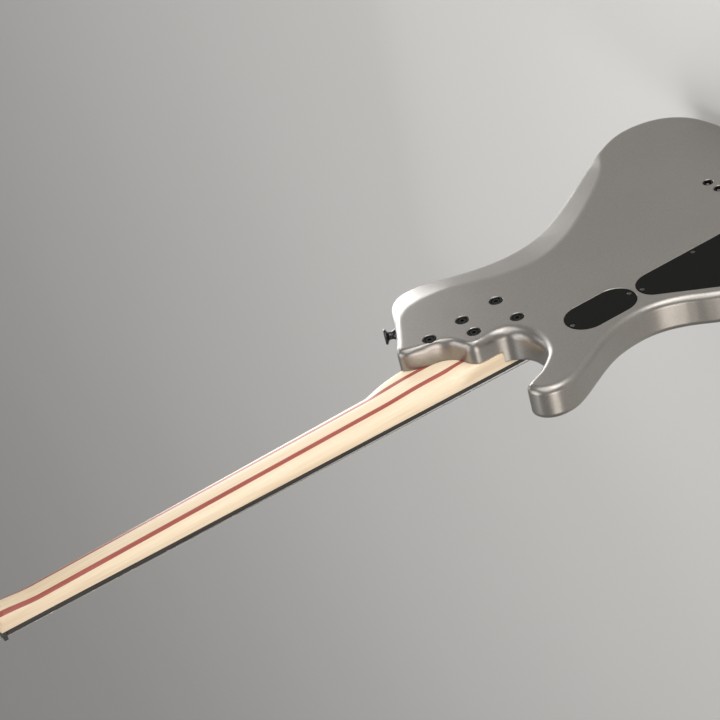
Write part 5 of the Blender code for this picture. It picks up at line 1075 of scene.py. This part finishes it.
def make_fretboard():
    rings = []
    for z in (NECK_END_Z, -GAP):
        edge = half_width(z)
        ring = [(edge * share, board_drop(edge * share) - FRETBOARD_THICKNESS, z)
                for share in across_board()]
        rings.append(ring + [(edge, -GAP, z), (-edge, -GAP, z)])
    piece("fretboard_wood", loft(rings), "black_wood", ["fretboard"], bevel=0.0003)

    crown, sunk = FRET_WIDTH / 2, FRET_HEIGHT / 2
    bow = [math.pi * step / 8 for step in range(9)]
    arch = [(-crown * math.cos(a), -FRET_HEIGHT * math.sin(a)) for a in bow]
    shape = [(-crown, sunk), *arch, (crown, sunk)]
    frets = []
    for number in range(1, FRET_COUNT + 1):
        z = fret_z(number)
        rings = []
        for share in across_board():
            x = (half_width(z) - GAP) * share
            base = board_drop(x) - FRETBOARD_THICKNESS
            rings.append([(x, base + y, z + along) for along, y in shape])
        frets.append(loft(rings))
    piece("frets", gathered(frets), "fret")

    dots = []
    for number in DOT_FRETS:
        z = (fret_z(number) + fret_z(number - 1)) / 2
        top = -FRETBOARD_THICKNESS - DOT_PROUD
        offsets = (-DOUBLE_DOT_OFFSET, DOUBLE_DOT_OFFSET) if number % 12 == 0 else (0.0,)
        for x in offsets:
            dots.append(cylinder(DOT_RADIUS, (x, top + board_drop(x), z),
                                 (x, top + DOT_DEPTH, z)))
        side = -half_width(z)
        for step in range(len(offsets)):
            up = z + (step - (len(offsets) - 1) / 2) * 4 * SIDE_DOT_RADIUS
            dots.append(cylinder(SIDE_DOT_RADIUS,
                                 (side - DOT_PROUD, -FRETBOARD_THICKNESS / 2, up),
                                 (side + DOT_DEPTH, -FRETBOARD_THICKNESS / 2, up), 20))
    piece("position_dots", gathered(dots), "pearl")


# Hardware


def slotted_screw(radius, height):
    """A low domed head with its crossed slots, local Z out."""
    head = turned([(0, height), (radius * 0.6, height * 0.85), (radius * 0.92, height * 0.4),
                   (radius, 0.0), (radius * 0.5, -SCREW_SHANK), (0, -SCREW_SHANK)], 28)
    tools = []
    for wide, long in ((radius * 1.3, SLOT_WIDTH), (SLOT_WIDTH, radius * 1.3)):
        form = bmesh.new()
        bmesh.ops.create_cube(form, size=1.0)
        bmesh.ops.scale(form, vec=(wide, long, height * 1.6), verts=form.verts)
        bmesh.ops.translate(form, vec=(0, 0, height), verts=form.verts)
        tools.append(mesh_of(form, "slot"))
    return combined("DIFFERENCE", head, *tools)


def set_of(mesh, frames):
    copies = []
    for place in frames:
        copy = mesh.copy()
        copy.transform(place)
        copies.append(copy)
    return gathered(copies)


def make_covers():
    screw = slotted_screw(SCREW_HEAD_RADIUS, SCREW_HEAD)
    cup_radius, cup_floor = SCREW_HEAD_RADIUS + SCREW_SLACK, -SCREW_RECESS - SCREW_SLACK / 2
    for node, circles, places in (("control_cover", CONTROL_COVER_CIRCLES, CONTROL_SCREW_PLACES),
                                  ("battery_cover", BATTERY_COVER_CIRCLES, BATTERY_SCREW_PLACES)):
        cover = slab(hull_of_circles(raised(circles)), BODY_BACK - COVER_THICKNESS, BODY_BACK,
                     COVER_EDGE, 1)
        cups = [turned([(0, PAST), (cup_radius, PAST), (cup_radius, 0.0),
                        (SCREW_HEAD_RADIUS, cup_floor), (0, cup_floor)], 28) for _ in places]
        for cup, (x, z) in zip(cups, raised(places)):
            cup.transform(Matrix.Translation((x, BODY_BACK, z)) @ FACING_BACK)
        cover = combined("DIFFERENCE", cover, gathered(cups))
        piece(node + "_plate", cover, "plastic", [node])
        frames = [Matrix.Translation((x, BODY_BACK - SCREW_RECESS - 0.0001, z)) @ FACING_BACK
                  for x, z in raised(places)]
        piece(node + "_screws", set_of(screw, frames), "dark_steel")


def make_bolts():
    floor = BOLT_FERRULE_WALL - BOLT_FERRULE_DEPTH
    top = floor + BOLT_HEAD
    cup = BOLT_HEAD_RADIUS + BOLT_HEAD_SLACK
    bolt = turned([(0, top), (BOLT_HEAD_RADIUS - RIM, top), (BOLT_HEAD_RADIUS, top - RIM),
                   (BOLT_HEAD_RADIUS, floor), (cup, floor), (cup, -RIM), (cup + RIM, 0.0),
                   (BOLT_FERRULE_RADIUS - RIM, 0.0), (BOLT_FERRULE_RADIUS, -RIM),
                   (BOLT_FERRULE_RADIUS, -BOLT_FERRULE_DEPTH), (0, -BOLT_FERRULE_DEPTH)])
    socket = cylinder(BOLT_SOCKET_RADIUS, (0, 0, top - BOLT_SOCKET_DEPTH), (0, 0, top + PAST), 6)
    bolt = combined("DIFFERENCE", bolt, socket)
    for number, (x, z) in enumerate(bolt_places(), 1):
        copy = bolt.copy()
        copy.transform(Matrix.Translation((x, BODY_BACK - FERRULE_SINK, z)) @ FACING_BACK)
        piece(f"bolt_and_ferrule_{number}", copy, "bolt", [f"neck_bolt_{number}"])


def make_string_ferrules():
    floor = STRING_FERRULE_WALL - STRING_FERRULE_DEPTH
    cup = STRING_FERRULE_RADIUS - STRING_FERRULE_WALL
    ferrule = turned([(STRING_HOLE_RADIUS, floor), (cup, floor), (cup, -RIM), (cup + RIM, 0.0),
                      (STRING_FERRULE_RADIUS - RIM, 0.0), (STRING_FERRULE_RADIUS, -RIM),
                      (STRING_FERRULE_RADIUS, -STRING_FERRULE_DEPTH),
                      (STRING_HOLE_RADIUS, -STRING_FERRULE_DEPTH), (STRING_HOLE_RADIUS, floor)], 40)
    for number, name in enumerate(STRING_NAMES):
        copy = ferrule.copy()
        copy.transform(Matrix.Translation((string_x_at_bridge(number), BODY_BACK - FERRULE_SINK,
                                           STRING_HOLE_Z)) @ FACING_BACK)
        piece(f"back_ferrule_{name}", copy, "bolt", [f"string_ferrule_{name}"])


def make_rod_cover():
    low, high = ROD_COVER_START, ROD_COVER_START + ROD_COVER_LENGTH
    corner = ROD_COVER_CORNER
    circles = [(sign * (ROD_COVER_WIDTH / 2 - corner), low + corner, corner) for sign in (-1, 1)]
    circles += [(sign * (ROD_COVER_WIDTH / 3 - corner), high - corner, corner) for sign in (-1, 1)]
    top = -GAP - ROD_COVER_THICKNESS
    cover = slab(hull_of_circles(circles, 0.0, 32), top, -GAP, 0.0004, 2)
    piece("rod_cover_plate", cover, "plastic", ["truss_rod_cover"],
          place=HEAD_FRAME)
    side = ROD_COVER_WIDTH / 2 - ROD_SCREW_INSET
    places = ((-side, low + ROD_SCREW_INSET), (side, low + ROD_SCREW_INSET),
              (0.0, high - ROD_SCREW_INSET))
    screw = slotted_screw(ROD_SCREW_RADIUS, ROD_SCREW_HEAD)
    frames = [HEAD_FRAME @ Matrix.Translation((x, top, z)) @ FACING_FRONT for x, z in places]
    piece("rod_cover_screws", set_of(screw, frames), "black")


def key_mesh():
    """A clover-shaped finger key on its shaft, which runs along local +X."""
    points = 72
    middle = KEY_REACH + KEY_SIZE * KEY_SQUASH
    outline = []
    for i in range(points):
        angle = 2 * math.pi * i / points
        radius = KEY_SIZE * (1 + KEY_LOBE_RISE * math.cos(KEY_LOBES * angle))
        outline.append((middle + radius * math.cos(angle) * KEY_SQUASH, radius * math.sin(angle)))
    paddle = slab(outline, -KEY_THICKNESS / 2, KEY_THICKNESS / 2, 0.0022, 4)
    start = HOUSING_WIDTH / 2 - KEY_DEPTH_IN_HOUSING
    shaft = cylinder(KEY_SHAFT_RADIUS, (start, 0, 0), (KEY_REACH + 0.0020, 0, 0))
    edge = HOUSING_WIDTH / 2 + GAP
    collar = turned([(0, edge + KEY_COLLAR), (KEY_SHAFT_RADIUS + RIM, edge + KEY_COLLAR),
                     (KEY_COLLAR_RADIUS, edge + KEY_COLLAR / 2), (KEY_COLLAR_RADIUS, edge),
                     (0, edge)], 32)
    collar.transform(Matrix.Rotation(math.pi / 2, 4, "Y"))
    return combined("UNION", shaft, paddle, collar)


def make_tuners():
    key = key_mesh()
    tilt = Matrix.Rotation(-HEAD_TILT, 4, "X")
    for name, (x, _) in zip(STRING_NAMES, tuner_places()):
        softened(f"tuner_housing_{name}", "black", 0.0006)
        softened(f"tuner_post_{name}", "black", 0.0003, f"tuner_post_{name}")
        copy = key.copy()
        if x < 0:
            copy.transform(Matrix.Rotation(math.pi, 4, "Y"))
        place = Matrix.Translation(JOINTS[f"key_{name}_turn"]["pos_m"]) @ tilt
        piece(f"finger_key_{name}", copy, "black", [f"tuner_key_{name}"],
              f"tuner_key_{name}", place)


def make_knobs():
    low, high = KNOB_FLOAT, KNOB_FLOAT + KNOB_HEIGHT
    skirt = KNOB_RADIUS - KNOB_WALL
    knob = turned([(0, high), (KNOB_RADIUS - KNOB_CHAMFER, high),
                   (KNOB_RADIUS, high - KNOB_CHAMFER), (KNOB_RADIUS, high - 2 * KNOB_CHAMFER),
                   (KNOB_RADIUS, low + KNOB_CHAMFER),
                   (KNOB_RADIUS, low), (skirt, low), (skirt, low + KNOB_SKIRT_DEPTH),
                   (POT_SHAFT_RADIUS, low + KNOB_SKIRT_DEPTH), (POT_SHAFT_RADIUS, POT_SHAFT_END),
                   (0, POT_SHAFT_END)], 4 * KNOB_RIDGES)
    for vertex in knob.vertices:
        radius = math.hypot(vertex.co.x, vertex.co.y)
        ridged = low + KNOB_CHAMFER / 2 < vertex.co.z < high - 1.5 * KNOB_CHAMFER
        if ridged and radius > KNOB_RADIUS - 0.0001:
            angle = math.atan2(vertex.co.y, vertex.co.x)
            depth = KNOB_RIDGE_DEPTH * (1 - math.cos(KNOB_RIDGES * angle)) / 2
            vertex.co.x *= 1 - depth / radius
            vertex.co.y *= 1 - depth / radius
    mark_y = KNOB_RADIUS * KNOB_MARK_PLACE
    mark = cylinder(KNOB_MARK_RADIUS, (0, mark_y, high - DOT_DEPTH / 2),
                    (0, mark_y, high + DOT_PROUD), 20)
    for name in ("volume", "blend", "bass", "treble"):
        place = Matrix.Translation(JOINTS[f"knob_{name}_turn"]["pos_m"]) @ FACING_FRONT
        body = f"knob_{name}"
        piece(f"ridged_knob_{name}", knob.copy(), "black", [body], body, place)
        piece(f"knob_mark_{name}", mark.copy(), "pearl", (), body, place)
        dressed(f"pot_{name}", "steel")


def make_pickups():
    screw = slotted_screw(PICKUP_SCREW_RADIUS, SCREW_HEAD)
    frames = []
    for name in ("neck", "bridge"):
        low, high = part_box(f"pickup_cover_{name}")
        centre = (0, (low.z + high.z) / 2)
        back = PICKUP_FLOOR - GAP
        outline = rounded_rectangle(high.x - low.x, high.z - low.z, PICKUP_CORNER_RADIUS, centre)
        cover = slab(outline, low.y, back, PICKUP_EDGE, 5)
        coil_low, coil_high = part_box(f"pickup_coil_{name}")
        left, right, down, up = (coil_low.x - GAP, coil_high.x + GAP,
                                 coil_low.z - GAP, coil_high.z + GAP)
        hollow = prism([(left, down), (right, down), (right, up), (left, up)],
                       coil_low.y - GAP, back + PAST)
        piece(f"pickup_case_{name}", combined("DIFFERENCE", cover, hollow), "plastic",
              [f"pickup_cover_{name}"])
        across, along = PICKUP_SCREW_INSET
        for x in (low.x + across, high.x - across):
            for z in (low.z + along, high.z - along):
                frames.append(Matrix.Translation((x, low.y, z)) @ FACING_FRONT)
        dressed(f"pickup_coil_{name}", "coil")
    piece("pickup_screw_heads", set_of(screw, frames), "dark_steel")


def make_strap_buttons():
    top, head, neck = BUTTON_HEIGHT, BUTTON_HEAD_RADIUS, BUTTON_NECK_RADIUS
    button = turned([(0, top - SCREW_RECESS), (BUTTON_SCREW_HEAD_RADIUS, top - SCREW_RECESS),
                     (BUTTON_SCREW_HEAD_RADIUS + RIM, top), (head - 0.0010, top),
                     (head - 0.0003, top - 0.0005), (head, top - 0.0012), (head, top - 0.0022),
                     (head - 0.0012, top - 0.0032), (neck + 0.0008, top - 0.0042),
                     (neck, top - 0.0056), (neck, 0.0046), (neck + 0.0008, 0.0026),
                     (BUTTON_BASE_RADIUS, GAP), (BUTTON_SCREW_RADIUS, GAP),
                     (BUTTON_SCREW_RADIUS, GAP - BUTTON_SCREW_LENGTH),
                     (0, GAP - BUTTON_SCREW_LENGTH)])
    screw = slotted_screw(BUTTON_SCREW_HEAD_RADIUS - RIM, 2 * RIM)
    horn = Vector((HORN_BUTTON_DIRECTION[0], 0, HORN_BUTTON_DIRECTION[1]))
    for name, (x, up), direction in (("upper", HORN_BUTTON_PLACE, horn),
                                     ("end", END_BUTTON_PLACE, Vector((0, 0, -1)))):
        place = aimed((x, BUTTON_Y, up + BRIDGE_Z), direction)
        piece(f"strap_knob_{name}", button.copy(), "black", [f"strap_button_{name}"],
              place=place)
        out = place @ Matrix.Translation((0, 0, top - SCREW_RECESS - 0.0003))
        piece(f"strap_screw_{name}", screw.copy(), "dark_steel", place=out)


def make_bridge():
    softened("bridge_plate", "black", 0.0005)
    for name in STRING_NAMES:
        softened(f"saddle_{name}", "black", 0.0003, f"saddle_{name}")
        softened(f"intonation_screw_{name}", "steel", 0.0002, f"intonation_screw_{name}")


def make_small_pieces():
    softened("nut", "nut", 0.0003)
    softened("output_jack", "black", 0.0003)
    dressed("truss_rod", "rod")
    dressed("battery", "battery")
    dressed("preamp_board", "board")


# Strings


def string_points(number):
    """The centre line of a string, from its ball end to the slot in its post."""
    radius = STRING_DIAMETERS[number] / 2
    x = string_x_at_bridge(number)
    crest = BRIDGE_Z - SADDLE_SETBACKS[number]
    crest_y = SADDLE_STRING_Y - radius
    plate_top = BODY_FRONT - 0.0030
    ball_y = (BODY_BACK - STRING_FERRULE_DEPTH + STRING_FERRULE_WALL + BALL_END_RADIUS
              + FERRULE_SINK + GAP)
    leave = Vector(((number - 1.5) * NUT_STRING_PITCH, NUT_STRING_Y - radius,
                    NUT_THICKNESS - 0.0006))
    points = [Vector((x, ball_y, STRING_HOLE_Z)), Vector((x, plate_top + 0.0005, STRING_HOLE_Z)),
              Vector((x, plate_top - 0.0010, STRING_HOLE_Z + 0.0008)),
              Vector((x, crest_y + 0.0009, crest - 0.0022)),
              Vector((x, crest_y + 0.0002, crest - 0.0008)), Vector((x, crest_y, crest + 0.0006)),
              leave + Vector((0, 0, 0.0010 - NUT_THICKNESS)), leave]
    post_x, post_z = tuner_places()[number]
    sense = -side_of(post_x)
    wind = POST_RADIUS + GAP + radius
    pitch = 2 * radius + WINDING_GAP
    start = HEAD_FRAME.inverted() @ leave
    away = Vector((start.x - post_x, start.z - post_z))
    touch = math.atan2(away.y, away.x) + sense * math.acos(wind / away.length)
    last = touch + sense * 2 * math.pi * STRING_TURNS
    lean = math.asin(WINDING_BEND / (wind - WINDING_BEND))

    def over_post(reach, angle, turns):
        height = WINDING_START + radius + pitch * turns
        return Vector((post_x + reach * math.cos(angle), -height, post_z + reach * math.sin(angle)))

    loops = [over_post(wind, touch + sense * 2 * math.pi * i / LOOP_POINTS, i / LOOP_POINTS)
             for i in range(STRING_TURNS * LOOP_POINTS + 1)]
    centre = over_post(wind - WINDING_BEND, last, STRING_TURNS)
    for step in range(1, 7):
        angle = last + sense * (lean + math.pi / 2) * step / 6
        loops.append(centre + WINDING_BEND * Vector((math.cos(angle), 0, math.sin(angle))))
    loops.append(over_post(0.0005, last + sense * lean, STRING_TURNS))
    return points + [HEAD_FRAME @ point for point in loops]


def string_tube(number, points):
    curve = bpy.data.curves.new("string", "CURVE")
    curve.dimensions = "3D"
    curve.bevel_depth = STRING_DIAMETERS[number] / 2 * WRAP_ROOT
    curve.bevel_resolution = 3
    curve.use_fill_caps = True
    spline = curve.splines.new("POLY")
    spline.points.add(len(points) - 1)
    for point, place in zip(spline.points, points):
        point.co = (*place, 1)
    return cleaned(evaluated(linked("string", curve)))


def make_strings():
    """Each string in two lengths that meet on its saddle."""
    for number, name in enumerate(STRING_NAMES):
        points = string_points(number)
        saddle, crest = f"saddle_{name}", points[CREST_POINT]
        half = Vector((BALL_END_RADIUS * 0.9, 0, 0))
        ball = cylinder(BALL_END_RADIUS, points[0] - half, points[0] + half)
        anchor = combined("UNION", string_tube(number, points[:CREST_POINT + 1]), ball)
        bends = (ROOT, saddle, (crest.x, 0, points[2].z), (crest.x, 0, points[3].z))
        piece(f"wound_anchor_{name}", anchor, "wound", [f"string_{name}"], bends)
        bends = (saddle, ROOT, (crest.x, 0, crest.z + GAP),
                 (crest.x, 0, crest.z + STRING_BEND_REACH))
        piece(f"wound_string_{name}", string_tube(number, points[CREST_POINT:]), "wound",
              [f"string_{name}"], bends)


# Stage


def make_camera():
    data = bpy.data.cameras.new("camera")
    data.sensor_width = SENSOR
    data.lens = FOCAL_PIXELS / PHOTO_SIZE * SENSOR
    data.shift_x = (PHOTO_SIZE / 2 - OPTICAL_CENTRE[0]) / PHOTO_SIZE
    data.shift_y = (OPTICAL_CENTRE[1] - PHOTO_SIZE / 2) / PHOTO_SIZE
    data.clip_end = 100.0
    camera = linked("camera", data)
    back = -Vector(CAMERA_AWAY).normalized()
    up = back.cross(Vector(CAMERA_RIGHT)).normalized()
    right = up.cross(back)
    turn = Matrix((right, up, back)).transposed().to_4x4()
    camera.matrix_world = Matrix.Translation(CAMERA_PLACE) @ turn
    bpy.context.scene.camera = camera


def background_rays(tree):
    """One for rays that show the background: to the camera, off gloss and through glass."""
    paths = add(tree, "LightPath")
    seen = paths.outputs["Is Camera Ray"]
    for kind in ("Is Glossy Ray", "Is Transmission Ray"):
        either = add(tree, "Math", operation="MAXIMUM")
        tree.links.new(seen, either.inputs[0])
        tree.links.new(paths.outputs[kind], either.inputs[1])
        seen = either.outputs[0]
    return seen


def make_floor():
    form = bmesh.new()
    bmesh.ops.create_grid(form, x_segments=1, y_segments=1, size=FLOOR_SIZE / 2)
    mesh = mesh_of(form, "floor")
    mesh.transform(Matrix.Translation((0, 0, FLOOR_Z)))
    made, tree, shader = new_material("pale_floor", 0.9)
    cloud = noise(tree, 2.0, detail=1.0)
    tones = [ramp(tree, cloud, [part * 0.985 for part in colour], colour)
             for colour in (FLOOR_COLOUR, FLOOR_SEEN_COLOUR)]
    tree.links.new(mixed(tree, background_rays(tree), *tones), shader.inputs["Base Color"])
    mesh.materials.append(made)
    linked("floor", mesh)


def make_world():
    world = bpy.data.worlds.new("studio")
    bpy.context.scene.world = world
    world.use_nodes = True
    tree = world.node_tree
    tree.nodes.clear()
    lit = add(tree, "Background", {"Color": (*SKY_COLOUR, 1), "Strength": WORLD_STRENGTH})
    out = add(tree, "OutputWorld")
    tree.links.new(lit.outputs[0], out.inputs["Surface"])


def make_lights():
    for name, place, target, (size, size_y), power, colour, spread_angle in LAMPS:
        data = bpy.data.lights.new(name, "AREA")
        data.shape = "RECTANGLE"
        data.size, data.size_y = size, size_y
        data.energy = power
        data.color = colour
        data.spread = math.radians(spread_angle)
        shape = linked(name, data)
        shape.matrix_world = aimed(place, Vector(place) - Vector(target))
        shape.visible_camera = False


def main():
    for make in (make_camera, make_body, make_neck, make_fretboard, make_covers, make_bolts,
                 make_string_ferrules, make_rod_cover, make_tuners, make_knobs, make_pickups,
                 make_strap_buttons, make_bridge, make_small_pieces, make_strings, make_floor,
                 make_world, make_lights):
        make()
    bpy.context.scene.view_settings.view_transform = "Standard"


STATIONS = stations()
FINISHES = make_finishes()
main()
